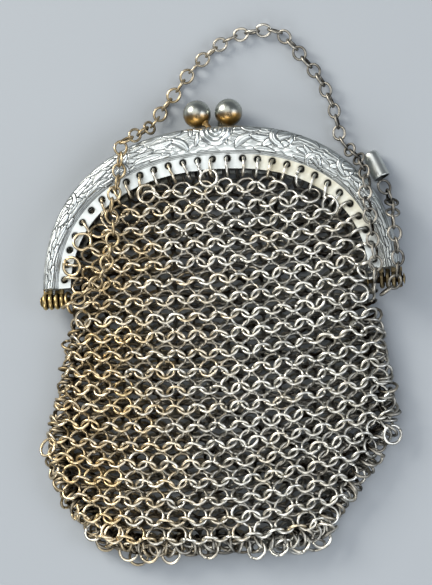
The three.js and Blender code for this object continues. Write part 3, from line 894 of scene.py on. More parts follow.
    def barrel(self, side: int, number: int) -> list[Shell]:
        """Turns one rounded hinge barrel and the neck that holds it.

        Args:
            side: 1 at the right hinge, -1 at the left.
            number: Its place along the pin, from the inside.

        Returns:
            The barrel and its neck, both of the brass finish.
        """
        inner_end = self.arch.half_width - self.barrel_inset
        middle = inner_end + self.barrel_width / 2 + number * (self.barrel_width + self.barrel_gap)
        swell = [(1.0, -0.5), (1.5, -0.5), (1.66, -0.42), (1.82, -0.24), (self.barrel_radius, 0.0),
                 (1.82, 0.24), (1.66, 0.42), (1.5, 0.5), (1.0, 0.5), (1.0, -0.5)]
        profile = [(radius, along * self.barrel_width) for radius, along in swell]
        points, faces = lathe(profile, 32)
        points = points[:, [2, 1, 0]] * (1, 1, -1)
        reach = np.hypot(points[:, 1], points[:, 2])
        grime_and_shade = smooth_step(1.8, 1.5, reach)
        points[:, 0] += side * middle
        width = self.barrel_width / 2
        low = np.array([side * middle - width, 1.35, self.halves_gap])
        high = np.array([side * middle + width, self.arch.leg_end + 0.5, 1.45])
        neck, neck_faces = rounded_block(low, high, 0.1)
        warmth = 0.7 if side * (-1 if self.turned else 1) < 0 else 0.15
        grime_and_shade = grime_and_shade + 0.7 - warmth
        return [Shell(points, faces, grime_and_shade, warmth, 1), Shell(neck, neck_faces, 0.6, warmth, 1)]

    def build(self, finishes: Sequence[bpy.types.Material]) -> bpy.types.Object:
        """Builds the half and lays it in its place.

        Args:
            finishes: The silver of the sheet and the brass of the barrels.

        Returns:
            The new object.
        """
        shells = [self.band(), self.flange()]
        for side in (1, -1):
            shells.append(self.end_wall(side))
            for number in range(self.parity, self.barrels, 2):
                shells += self.barrel(side, number)
        if self.turned:
            for shell in shells:
                shell.points = shell.points * (-1, 1, -1)
        return make_piece(f"{self.node}_chased", shells, finishes, [self.node])


def rounded_block(low: np.ndarray, high: np.ndarray, radius: float) -> tuple[np.ndarray, list[np.ndarray]]:
    """Makes a block between two corners, its edges rounded over.

    Args:
        low: The lowest corner.
        high: The highest corner.
        radius: The radius of its edges.

    Returns:
        Points and faces.
    """
    count = 9
    ball, faces = lathe([(math.sin(t), -math.cos(t)) for t in np.linspace(0, math.pi, count)], 16)
    turn = math.pi / 16
    cosine, sine = math.cos(turn), math.sin(turn)
    ball = ball @ np.array([[cosine, sine, 0], [-sine, cosine, 0], [0, 0, 1]])
    middle, half = (low + high) / 2, (high - low) / 2 - radius
    side = np.where(np.abs(ball) < 1e-6, 0, np.sign(ball))
    return middle + side * half + radius * ball, faces


@dataclass(frozen=True)
class Knob:
    """A kiss-lock ball on a stem that is riveted inside the lip.

    Attributes:
        node: The CAD node that it replaces.
        turned: Whether it stands on the back half.
        foot: Where its stem's foot lies.
        middle: The middle of its ball.
        radius: The ball's radius.
        stem: The stem's radius.
        pit: Which way the casting pit faces.
        pit_depth: How deep it is.
        pit_spread: How wide it is, as a share of the ball.
    """

    node: str
    turned: bool
    foot: tuple[float, float, float] = (0.75, 33.7, 1.5)
    middle: tuple[float, float, float] = (-3.45, 39.2, 0.3)
    radius: float = 3.05
    stem: float = 0.6
    pit: tuple[float, float, float] = (0.12, -0.36, 0.92)
    pit_depth: float = 0.14
    pit_spread: float = 0.0035

    def build(self, finish: bpy.types.Material) -> bpy.types.Object:
        """Turns the stem and ball in one and dents the ball where it was cast.

        Args:
            finish: The ball's silver.

        Returns:
            The new object.
        """
        foot, middle = np.array(self.foot), np.array(self.middle)
        reach = float(np.linalg.norm(middle - foot))
        root = math.asin((self.stem + 0.25) / self.radius)
        turns = np.linspace(math.pi - root, 0.0, 48)
        profile = [(0, -0.5), (0.7, -0.5), (0.95, -0.36), (0.95, -0.1), (0.85, 0.0), (self.stem, 0.02),
                   (self.stem, reach - self.radius - 0.35), (self.stem + 0.3, reach - self.radius - 0.12)]
        profile += [(self.radius * math.sin(t), reach + self.radius * math.cos(t)) for t in turns]
        points, faces = lathe(profile, 64)
        turn = frame_along(middle - foot, np.array([1.0, 0.0, 0.0]))
        points = points @ turn.T + foot
        away = points - middle
        direction = away / np.maximum(np.linalg.norm(away, axis=1), 1e-6)[:, None]
        if self.turned:
            points, direction = points * (-1, 1, -1), direction * (-1, 1, -1)
        pit = np.array(self.pit) / np.linalg.norm(self.pit)
        near = np.exp(-((1 - direction @ pit) / self.pit_spread) ** 2)
        points = points - self.pit_depth * near[:, None] * direction
        # Painted shade on the ball's underside, towards the table, and on its side towards the bag's bottom;
        # the casting pit is dark too.
        below = smooth_step(0.15, -0.75, direction[:, 1])
        tarnish_and_shade = np.maximum(0.85 * near, 0.55 * smooth_step(0.1, -0.7, direction[:, 2]) + 0.25 * below)
        warmth = 0.9 * smooth_step(0.1, -0.6, direction[:, 1]) * smooth_step(-0.2, 0.5, direction[:, 2])
        return make_piece(f"{self.node}_ball", [Shell(points, faces, tarnish_and_shade, warmth)], [finish],
                          [self.node])


@dataclass(frozen=True)
class Hinge:
    """A hinge pin with domed heads, and the ring that the chain hangs from.

    Attributes:
        side: 1 at the right, -1 at the left.
        barrels_start: Where the barrels begin, from the middle.
        barrels_end: Where they end.
        neck: The length of the pin's free neck.
        pin: The pin's radius.
        head: The radius of its heads.
        head_length: How far a head domes out.
    """

    side: int
    barrels_start: float = 34.4
    barrels_end: float = 39.52
    neck: float = 2.4
    pin: float = 0.7
    head: float = 1.15
    head_length: float = 0.4

    def word(self) -> str:
        """Gives the side's name."""
        return "right" if self.side > 0 else "left"

    def build_pin(self, finish: bpy.types.Material) -> bpy.types.Object:
        """Turns the pin along the hinge axis.

        Args:
            finish: Its brass.

        Returns:
            The new object.
        """
        inner, outer = self.barrels_start - self.neck, self.barrels_end
        dome = [(self.head * math.sin(t), self.head_length * (1 - math.cos(t)))
                for t in np.linspace(0, math.pi / 2, 6)]
        profile = [(radius, inner - self.head_length + along) for radius, along in dome]
        profile += [(self.pin, inner), (self.pin, outer)]
        profile += [(radius, outer + self.head_length - along) for radius, along in reversed(dome)]
        points, faces = lathe(profile, 28)
        grime_and_shade = smooth_step(0.95, 0.7, np.hypot(points[:, 0], points[:, 1]))
        points = points[:, [2, 1, 0]] * (self.side, 1, 1)
        warmth = 0.8 if self.side < 0 else 0.35
        return make_piece(f"{self.word()}_pin", [Shell(points, faces, 0.25 + 0.6 * grime_and_shade, warmth)], [finish],
                          [f"{self.word()}_hinge_pin"])

    def build_ring(self, finish: bpy.types.Material) -> bpy.types.Object:
        """Hangs the chain's ring on the pin's free neck.

        Args:
            finish: Its metal.

        Returns:
            The new object.
        """
        radius, wire, gap, lean, turn = 2.2, 0.35, 0.3, math.radians(-40), math.radians(12)
        tilt = Matrix.Rotation(lean, 3, "X") @ Matrix.Rotation(self.side * turn, 3, "Y")
        stand = np.array(tilt @ Matrix.Rotation(math.pi / 2, 3, "Y"))
        centre = np.array(tilt @ Vector((0, -(radius - wire - self.pin - gap), 0)))
        centre[0] += self.side * (self.barrels_start - self.neck / 2)
        ring = WireRing(radius, radius, wire, seam=4, steps=40, sides=12)
        points, facing, faces = ring.placed(centre[None], stand[None], np.ones(1))
        warmth = 0.85 if self.side < 0 else 0.1
        shell = Shell(points, faces, flank_shade_and_grime(facing), warmth)
        return make_piece(f"{self.word()}_neck_ring", [shell], [finish],
                          [f"{self.word()}_chain_ring"])


@dataclass(frozen=True)
class LinkChain:
    """A chain of oval links laid along a route.

    Attributes:
        node: The CAD node that it replaces.
        route: The line that it follows.
        lowest: The lowest that the links' middles lie, so that they rest on the table.
        pitch: The distance between links.
        warm_left: How yellow its left end is.
        link: One link.
    """

    node: str
    route: tuple[tuple[float, float, float], ...]
    lowest: float = -2.9
    pitch: float = 2.54
    warm_left: float = 0.5
    link: WireRing = field(default=WireRing(1.55, 1.32, 0.29, seam=3, offset=0.08, steps=26, sides=10))

    def places(self) -> tuple[np.ndarray, np.ndarray]:
        """Spaces the links evenly along the route.

        Returns:
            The middle of each link and the direction of the chain there.
        """
        line = rounded(self.route, 16)
        line[:, 2] = np.maximum(line[:, 2], self.lowest)
        run = run_along(line)
        count = round(run[-1] / self.pitch)
        at = (np.arange(count) + 0.5) * run[-1] / count
        middle = np.stack([np.interp(at, run, line[:, k]) for k in range(3)], -1)
        ahead = np.stack([np.interp(at + 0.8, run, line[:, k]) for k in range(3)], -1)
        behind = np.stack([np.interp(at - 0.8, run, line[:, k]) for k in range(3)], -1)
        return middle, ahead - behind

    def build(self, finish: bpy.types.Material) -> bpy.types.Object:
        """Links the chain, each link turned across its neighbours.

        Args:
            finish: Its metal.

        Returns:
            The new object.
        """
        random = np.random.default_rng(21)
        middle, direction = self.places()
        turns = []
        for number, run in enumerate(direction):
            run = run / np.linalg.norm(run)
            side = np.cross([0, 0, 1.0], run)
            side /= np.linalg.norm(side)
            up = np.cross(run, side)
            roll = math.radians((18 if number % 2 else 106) + random.normal(0, 9))
            across = math.cos(roll) * side + math.sin(roll) * up
            turns.append(np.stack([run, across, np.cross(run, across)], 1))
        sizes = 1 + random.normal(0, 0.015, len(middle))
        points, facing, faces = self.link.placed(middle, np.array(turns), sizes)
        block = len(points) // len(middle)
        rest = np.repeat(middle, block, axis=0)
        depth = (points - rest)[:, 2]
        # Painted shade on the lower part of each link, towards the table.
        tarnish_and_shade = 0.4 * smooth_step(0.4, -1.3, depth)
        tarnish_and_shade += np.repeat(random.uniform(0, 0.25, len(middle)), block) + flank_shade_and_grime(facing)
        tarnish_and_shade += 0.3 * smooth_step(10, 24, rest[:, 0])
        warmth = self.warm_left * smooth_step(12, -14, rest[:, 0])
        warmth = warmth + np.repeat(random.uniform(0, 0.15, len(middle)), block)
        return make_piece(f"{self.node}_links", [Shell(points, faces, tarnish_and_shade, warmth)], [finish],
                          [self.node])


@dataclass(frozen=True)
class EndCup:
    """The drawn cup at the tail chain's end, lying on the table with its mouth to the purse.

    Attributes:
        closed: Where its closed end lies.
        mouth: A point towards which it opens.
        level: How high its axis lies.
        radius: Its radius.
        mouth_radius: Its radius at the rolled lip.
        length: Its length.
        wall: Its wall.
    """

    closed: tuple[float, float] = (33.5, 28.5)
    mouth: tuple[float, float] = (36.0, 22.6)
    level: float = -2.6
    radius: float = 1.75
    mouth_radius: float = 1.9
    length: float = 6.3
    wall: float = 0.35

    def build(self, finish: bpy.types.Material) -> bpy.types.Object:
        """Draws the cup with a rolled lip and its inside darkened with painted shade.

        Args:
            finish: Its silver.

        Returns:
            The new object.
        """
        outer = rounded([(0.0, 0.0), (0.55 * self.radius, 0.08), (0.9 * self.radius, 0.5), (self.radius, 1.5),
                         (self.radius + 0.02, 3.5), (self.mouth_radius - 0.06, self.length - 0.7),
                         (self.mouth_radius, self.length - 0.2), (self.mouth_radius - 0.1, self.length)], 5)
        inner = rounded([(self.mouth_radius - self.wall, self.length - 0.06), (self.radius - self.wall, 3.5),
                         (self.radius - self.wall - 0.1, 1.6), (0.7, 0.75), (0.0, 0.7)], 5)
        profile = np.vstack([outer, inner])
        points, faces = lathe([tuple(p) for p in profile], 48)
        # Painted shade inside the cup, with the outer wall left bright.
        dark = np.repeat(np.concatenate([np.full(len(outer), 0.15), np.full(len(inner), 0.95)]), 48)
        run = np.array([self.mouth[0] - self.closed[0], self.mouth[1] - self.closed[1], 0.0])
        turn = frame_along(run, np.array([0.0, 0.0, 1.0]))
        points = points @ turn.T + (self.closed[0], self.closed[1], self.level)
        shell = Shell(points, faces, dark, 0.15)
        return make_piece("tail_cup_drawn", [shell], [finish], ["tail_cup"])


@dataclass(frozen=True)
class BagForm:
    """The form that the mail takes, full in front and flat behind.

    Attributes:
        drop: How far it hangs below the hinge axis.
        half_width: Half its greatest width.
        front: How far its front stands up over the middle.
        back: How far its back lies below the middle.
        edge: The level at which front and back meet at the sides.
        layer: Half the thickness of one layer of mail.
        outline: Drop, half width and slide to the right, as shares.
        profile: Drop and height of the front as shares.
    """

    drop: float = 57.4
    half_width: float = 37.6
    front: float = 4.9
    back: float = 4.5
    edge: float = -1.6
    layer: float = 1.35
    outline: tuple[tuple[float, float, float], ...] = (
        (0.089, 0.892, 0.0), (0.26, 0.94, -0.012), (0.373, 0.974, -0.02), (0.486, 0.998, -0.035),
        (0.542, 1.0, -0.041), (0.596, 0.981, -0.06), (0.652, 0.95, -0.08), (0.707, 0.908, -0.102),
        (0.763, 0.85, -0.113), (0.817, 0.79, -0.117), (0.873, 0.723, -0.12), (0.929, 0.632, -0.118),
        (0.95, 0.545, -0.106), (0.97, 0.44, -0.069), (0.987, 0.33, -0.027), (1.0, 0.24, -0.013),
    )
    profile: tuple[tuple[float, float], ...] = (
        (-0.5, 0.91), (-0.26, 0.95), (0.0, 1.0), (0.26, 0.98), (0.52, 0.9), (0.78, 0.79), (0.93, 0.68),
        (1.0, 0.48),
    )

    def half(self, y: Any) -> np.ndarray:
        """Gives half the bag's width at a height."""
        return self.across_at(y, 1)

    def slide(self, y: Any) -> np.ndarray:
        """Gives how far the bag's middle has slid to the right at a height."""
        return self.across_at(y, 2)

    def across_at(self, y: Any, column: int) -> np.ndarray:
        """Reads a column of the outline at a height, in millimetres."""
        table = np.array(self.outline)
        return np.interp(-np.asarray(y) / self.drop, table[:, 0], table[:, column]) * self.half_width

    def section(self, y: float, front: bool, lift: float) -> tuple[np.ndarray, np.ndarray, np.ndarray]:
        """Traces the middle of the mail from the bag's middle to its side.

        Args:
            y: The height of the section.
            front: Whether it is the front layer.
            lift: How far the row rises towards the sides, where it takes its width.

        Returns:
            Length along the mail, X from the bag's middle and Z of points on it.
        """
        spread = min(3 * max(y + 6, 0), 12)
        half = float(self.half(y + lift)) - 0.9 * self.layer + spread
        places, heights = np.array(self.profile).T
        crest = (self.front + self.back) * float(np.interp(-y / self.drop, places, heights)) - self.back
        across = np.sin(np.linspace(0, np.pi / 2, 120))
        if front:
            z = self.edge + (crest - self.layer - self.edge) * np.sqrt(1 - across ** 5)
        else:
            flat = self.layer - self.back
            z = flat + (self.edge - flat) * (1 - np.sqrt(1 - across ** 12))
        x = across * half
        run = np.concatenate([[0], np.cumsum(np.hypot(np.diff(x), np.diff(z)))])
        return run, x, z


@dataclass
class MailBag:
    """Four-in-one ring mail in two layers, sewn to the frame with rings through its holes.

    Attributes:
        form: The form that it takes.
        arch: The frame's outline.
        holes: The middles of the sewing holes.
        ring: One ring of the mail.
        back_ring: One ring of the back layer, the same with fewer faces.
        pitch: The distance between rings along a row, in millimetres.
        advance: The usual distance between rows.
        drawn: How far each row is drawn towards the one that it meets in front.
        lean_top: How far the rings of one row lean out of the mail at the top, in degrees.
        lean_bottom: How far those of the next row lean out at the bottom.
        slack: How much closer the rings of the slack back layer lie, as a share.
        top: The height of the highest row.
        rise_right: How far the rows rise to the right side, near the hinge and more at the bottom.
        rise_left: How far they rise to the left side, likewise.
        deep_shade: How dark the painted shade makes the wire at its deepest.
        shade_depth: How far in the painted shade is darkest, as a share of the layer's half thickness.
        warm: How yellow the wire is at the right and how much more at the left.
        warm_span: Where it starts to turn yellow and where it is yellowest.
        opening_room: How far the mail keeps off the flange's inner edge.
        hinge_room: Half the mail's width between the hinges.
        bottom_room: How far the last row keeps off the bottom.
        sewing_level: How far in front of the middle the sewing rings go through the flange.
        sewing_hang: How far their middles lie from the holes.
        lost: The numbers of the front holes that have lost their rings.
        edge_pitch: The distance between the rings down the sides.
        edge_inset: How far in from the outline they stand.
        random: What every chance turn and tint is drawn from.
    """

    form: BagForm
    arch: Arch
    holes: np.ndarray
    ring: WireRing = field(default=WireRing(1.93, 1.93, 0.33))
    back_ring: WireRing = field(default=WireRing(1.93, 1.93, 0.33, steps=19, sides=5))
    pitch: float = 4.62
    advance: float = 1.96
    drawn: float = 0.27
    lean_top: float = 41.0
    lean_bottom: float = 30.0
    slack: float = 0.68
    top: float = 24.4
    rise_right: tuple[float, float] = (3.4, 2.6)
    rise_left: tuple[float, float] = (0.2, 4.6)
    deep_shade: float = 0.45
    shade_depth: float = 1.3
    warm: tuple[float, float] = (0.1, 0.5)
    warm_span: tuple[float, float] = (10.0, -34.0)
    opening_room: float = 1.9
    hinge_room: float = 31.2
    bottom_room: float = 1.4
    sewing_level: float = 2.87
    sewing_hang: float = 1.75
    lost: tuple[int, ...] = (23, 25, 26)
    edge_pitch: float = 1.35
    edge_inset: float = 2.2
    random: np.random.Generator = field(default_factory=lambda: np.random.default_rng(7))

    def sag(self, x: np.ndarray, y: float) -> np.ndarray:
        """Gives how far a row rises away from the middle.

        Args:
            x: Places across the bag.
            y: The row's height.

        Returns:
            The rise at each place.
        """
        low = float(smooth_step(6.0, -45.0, np.array(y)))
        right = self.rise_right[0] * float(smooth_step(26.0, 8.0, np.array(y))) + self.rise_right[1] * low
        left = self.rise_left[0] + self.rise_left[1] * low
        share = x / 38.0
        return np.where(x > 0, right * np.abs(share) ** 1.7, left * np.abs(share) ** 2.2)

    def inside_arch(self, x: np.ndarray, y: np.ndarray) -> np.ndarray:
        """Measures how far places lie inside the frame's opening.

        Args:
            x: Places across the bag.
            y: Their heights.

        Returns:
            The distance to the flange's inner edge, in millimetres and below zero outside it.
        """
        line = self.arch.point(2.0, np.linspace(0, 1, 200))
        gap = np.hypot(x[:, None] - line[:, 0], y[:, None] - line[:, 1]).min(1)
        a = self.arch.half_width - self.arch.band_side - self.arch.flange_side
        b = self.arch.height - self.arch.band_top - self.arch.flange_top
        within = (np.abs(x) / a) ** self.arch.power + (np.maximum(y, 0) / b) ** self.arch.power < 1
        return np.where(within, gap, -gap)

    def lattice(self, front: bool) -> tuple[np.ndarray, np.ndarray, np.ndarray]:
        """Lays the rings of one layer out in rows.

        Args:
            front: Whether it is the front layer.

        Returns:
            The middle of each ring, its rotation and the mail's outward direction there.
        """
        centres, turns, outward = [], [], []
        close = 1.0 if front else self.slack
        pitch, advance = self.pitch * math.sqrt(close), self.advance * close
        rows = int((self.top + self.form.drop) / advance) + 1
        for row in range(rows):
            nominal = self.top - row * advance + close * (self.drawn if row % 2 == 0 else -self.drawn)
            rise = float(self.sag(np.array([-30.0, 30.0]), nominal).mean()) if nominal < 0 else 0.0
            tables = [self.form.section(nominal + shift, front, rise) for shift in (-0.5, 0.0, 0.5)]
            reach = tables[1][0][-1] - 0.5
            beside = 0.5 * (row % 2) + (0.0 if front else 0.3)
            along = (np.arange(-20, 21) + beside) * pitch
            along = along[np.abs(along) < reach]

            def at(shift: int, offset: float) -> np.ndarray:
                """Finds places on the mail beside the row's rings.

                Args:
                    shift: 1 for half a millimetre above the row, -1 for as much below it.
                    offset: How far to the right of each ring.

                Returns:
                    One place for each ring.
                """
                run, x, z = tables[shift + 1]
                length = along + offset
                place = np.sign(length) * np.interp(np.abs(length), run, x)
                level = nominal + 0.5 * shift
                return np.stack([place + self.form.slide(level), level + self.sag(place, level),
                                 np.interp(np.abs(length), run, z)], -1)

            middle = at(0, 0.0)
            right = at(0, 0.4) - at(0, -0.4)
            up = at(1, 0.0) - at(-1, 0.0)
            keep = self.keeps(middle)
            for centre, first, second in zip(middle[keep], right[keep], up[keep]):
                first = first / np.linalg.norm(first)
                out = np.cross(first, second)
                out /= np.linalg.norm(out)
                second = np.cross(out, first)
                out = out if front else -out
                angle = math.radians(self.lean_top if row % 2 == 0 else -self.lean_bottom)
                angle = math.copysign(math.acos(math.cos(angle) * close), angle)
                tilt = math.cos(angle) * second + math.sin(angle) * out
                centres.append(centre)
                turns.append(np.stack([first, tilt, np.cross(first, tilt)], 1))
                outward.append(out)
        return np.array(centres), np.array(turns), np.array(outward)

    def keeps(self, middle: np.ndarray) -> np.ndarray:
        """Says which rings lie inside the frame's opening and the bag's outline.

        Args:
            middle: The middle of each ring.

        Returns:
            Whether each is kept.
        """
        x, y = middle[:, 0], middle[:, 1]
        room = self.inside_arch(x, y)
        inside = np.where(y > 0, room > self.opening_room, True)
        beside_hinge = np.where(y > -6, np.abs(x) < self.hinge_room + 0.25 * np.maximum(-y, 0), True)
        return inside & beside_hinge & (y > -self.form.drop + self.bottom_room)

    def shake(self, turns: np.ndarray, spread: float) -> np.ndarray:
        """Turns each ring a little out of line.

        Args:
            turns: One rotation for each ring.
            spread: The usual turn, in degrees.

        Returns:
            The new rotations.
        """
        vectors = self.random.normal(0, math.radians(spread), (len(turns), 3))
        made = []
        for turn, vector in zip(turns, vectors):
            angle = float(np.linalg.norm(vector))
            made.append(np.array(Matrix.Rotation(angle, 3, Vector(vector))) @ turn)
        return np.array(made)

    def shell(self, centres: np.ndarray, turns: np.ndarray, outward: np.ndarray, jumble: float,
              grime_and_shade: float = 0.0, lit_depth: float = 0.45, back: bool = False) -> Shell:
        """Makes rings at their places, bright where they stand out and dark with painted shade where they lie
        deep.

        Args:
            centres: The middle of each ring.
            turns: The rotation of each ring.
            outward: The mail's outward direction at each ring.
            jumble: How far the rings lie out of line, in degrees.
            grime_and_shade: Added to how dark they are.
            lit_depth: How far out the wire stays bright, free of painted shade, as a share of the layer's
                half thickness.
            back: Whether they are the back layer's rings.

        Returns:
            One shell with all the rings.
        """
        count = len(centres)
        centres = centres + self.random.normal(0, 0.012 * jumble, (count, 3))
        spin = self.random.uniform(0, 2 * np.pi, count)
        around = np.zeros((count, 3, 3))
        around[:, 0, 0] = around[:, 1, 1] = np.cos(spin)
        around[:, 1, 0], around[:, 0, 1] = np.sin(spin), -np.sin(spin)
        around[:, 2, 2] = 1
        turns = np.einsum("nij,njk->nik", self.shake(turns, jumble), around)
        ring = self.back_ring if back else self.ring
        points, facing, faces = ring.placed(centres, turns, 1 + self.random.normal(0, 0.012, count))
        block = len(points) // count
        lowest = points[:, 2].reshape(count, block).min(1)
        lift = np.repeat(np.maximum(-self.form.back - lowest, 0), block)
        away = points - np.repeat(centres, block, axis=0)
        depth = (away * np.repeat(outward, block, axis=0)).sum(1) / self.form.layer
        upright = np.repeat(np.where(outward[:, 2:] < -0.5, -1.0, 1.0), block, axis=0)
        flank = flank_shade_and_grime(facing, upright * (0, 0, 1))
        own = np.repeat(self.random.normal(0, 0.07, count), block)
        # Painted shade: the wire darkens where it lies deep in the mail and on its flanks; each ring adds its
        # own random tone.
        deep = smooth_step(lit_depth, lit_depth - self.shade_depth, depth)
        tarnish_and_shade = grime_and_shade + self.deep_shade * deep + flank + own
        tint = np.repeat(self.random.normal(0, 0.12, count), block)
        warmth = self.warm[0] + self.warm[1] * smooth_step(*self.warm_span, points[:, 0]) + tint
        return Shell(points + lift[:, None] * (0, 0, 1), faces, tarnish_and_shade, warmth)

    def build_layer(self, front: bool, finish: bpy.types.Material) -> bpy.types.Object:
        """Links one layer of the mail.

        Args:
            front: Whether it is the front layer.
            finish: The wire's finish.

        Returns:
            The new object.
        """
        centres, turns, outward = self.lattice(front)
        shell = self.shell(centres, turns, outward, 6.0, 0.0, 0.3 if front else 0.7, not front)
        name = "mail_front" if front else "mail_back"
        return make_piece(name, [shell], [finish], ["mesh_bag"])

    def build_sewing(self, finish: bpy.types.Material) -> bpy.types.Object:
        """Hangs the rings that sew the mail to both flanges.

        Args:
            finish: The wire's finish.

        Returns:
            The new object.
        """
        centres, turns, outward = [], [], []
        middle = np.array([0.0, 4.0])
        for level in (1, -1):
            for number, hole in enumerate(self.holes):
                if level > 0 and number in self.lost:
                    continue
                toward = middle - hole
                toward = toward / np.linalg.norm(toward)
                down = np.array([0.35 * toward[0], toward[1] if abs(hole[1]) > 6 else 0.3 * toward[1]])
                down = toward if hole[1] < 12 else down / np.linalg.norm(down)
                lean = self.random.normal(0, 0.18)
                run = np.array([down[0] - lean * down[1], down[1] + lean * down[0], 0.0])
                centre = np.append(hole, level * self.sewing_level) + self.sewing_hang * run
                normal = np.cross(run, [0, 0, 1.0])
                tip = self.random.normal(0, 0.15) + (0.0 if level > 0 else 0.85)
                up = np.array([0, 0, 1.0]) * math.cos(tip) + normal * math.sin(tip)
                centres.append(centre)
                turns.append(np.stack([run, up, np.cross(run, up)], 1))
                outward.append(np.array([0, 0, float(level)]))
        shell = self.shell(np.array(centres), np.array(turns), np.array(outward), 2.0)
        return make_piece("sewing_rings", [shell], [finish])

    def build_edges(self, finish: bpy.types.Material) -> bpy.types.Object:
        """Joins the two layers down the sides and round the bottom with rings that stand on edge.

        Args:
            finish: The wire's finish.

        Returns:
            The new object.
        """
        down = np.arange(-6.5, -self.form.drop + 1.2, -0.1)
        middle, half = self.form.slide(down), self.form.half(down)
        right, left = np.stack([middle + half, down], -1), np.stack([middle - half, down], -1)
        line = np.vstack([right, np.linspace(right[-1], left[-1], 200), left[::-1]])
        run = run_along(line)
        centres, turns, outward = [], [], []
        for length in np.arange(0.6, run[-1], self.edge_pitch):
            at = np.array([np.interp(length, run, line[:, k]) for k in range(2)])
            ahead = np.array([np.interp(length + 0.5, run, line[:, k]) for k in range(2)])
            along = np.append(ahead - at, 0.0)
            along /= np.linalg.norm(along)
            out = np.cross(along, [0, 0, 1.0])
            if out @ np.append(at - (0, -25), 0.0) < 0:
                out = -out
            stray = self.random.exponential(0.35)
            centre = np.append(at, self.form.edge) + (min(stray, 1.0) - self.edge_inset) * out
            centre[2] += self.random.uniform(-0.6, 0.9)
            roll = self.random.normal(0, 0.65)
            up = np.array([0, 0, 1.0]) * math.cos(roll) + along * math.sin(roll)
            yaw = self.random.normal(0, 0.25)
            first = out * math.cos(yaw) + along * math.sin(yaw)
            up = up - first * (up @ first)
            up /= np.linalg.norm(up)
            centres.append(centre)
            turns.append(np.stack([first, up, np.cross(first, up)], 1))
            outward.append(out)
        shell = self.shell(np.array(centres), np.array(turns), np.array(outward), 9.0, 0.36)
        return make_piece("edge_rings", [shell], [finish])

    def build_loose(self, finish: bpy.types.Material) -> bpy.types.Object:
        """Adds the rings that hang flat: under the flange, at the left leg and at the bottom edge.

        Args:
            finish: The wire's finish.

        Returns:
            The new object.
        """
        rows = (
            (-0.8, 23.9, 4.5, -8, 0), (-14.6, 21.6, 4.5, 14, 20), (-29.1, 12.0, 4.5, -12, 10),
            (-31.6, 6.6, 4.6, 10, -16), (-5.0, -55.2, -0.9, 6, -4), (-26.0, -50.5, 0.2, -18, 12),
            (11.0, -55.0, -1.4, 58, 20), (20.0, -52.0, -0.8, 62, -18), (-39.4, -31.8, -0.7, -22, -30),
            (35.3, -33.0, -0.4, 18, 28), (32.0, 1.6, 4.4, -20, 30), (25.0, 16.2, 4.4, 16, -28),
        )
        centres, turns, outward = [], [], []
        for x, y, z, nod, swing in rows:
            turn = Matrix.Rotation(math.radians(swing), 3, "Y") @ Matrix.Rotation(math.radians(nod), 3, "X")
            centres.append((x, y, z))
            turns.append(np.array(turn))
            outward.append((0.0, 0.0, 1.0))
        shell = self.shell(np.array(centres), np.array(turns), np.array(outward), 3.0, -0.1)
        return make_piece("loose_rings", [shell], [finish])


class Making(Enum):
    """How a metal surface was made, which sets the grain that it shows."""

    PRESSED = "pressed and polished sheet"
    TURNED = "turned and burnished"
    DRAWN = "drawn wire"


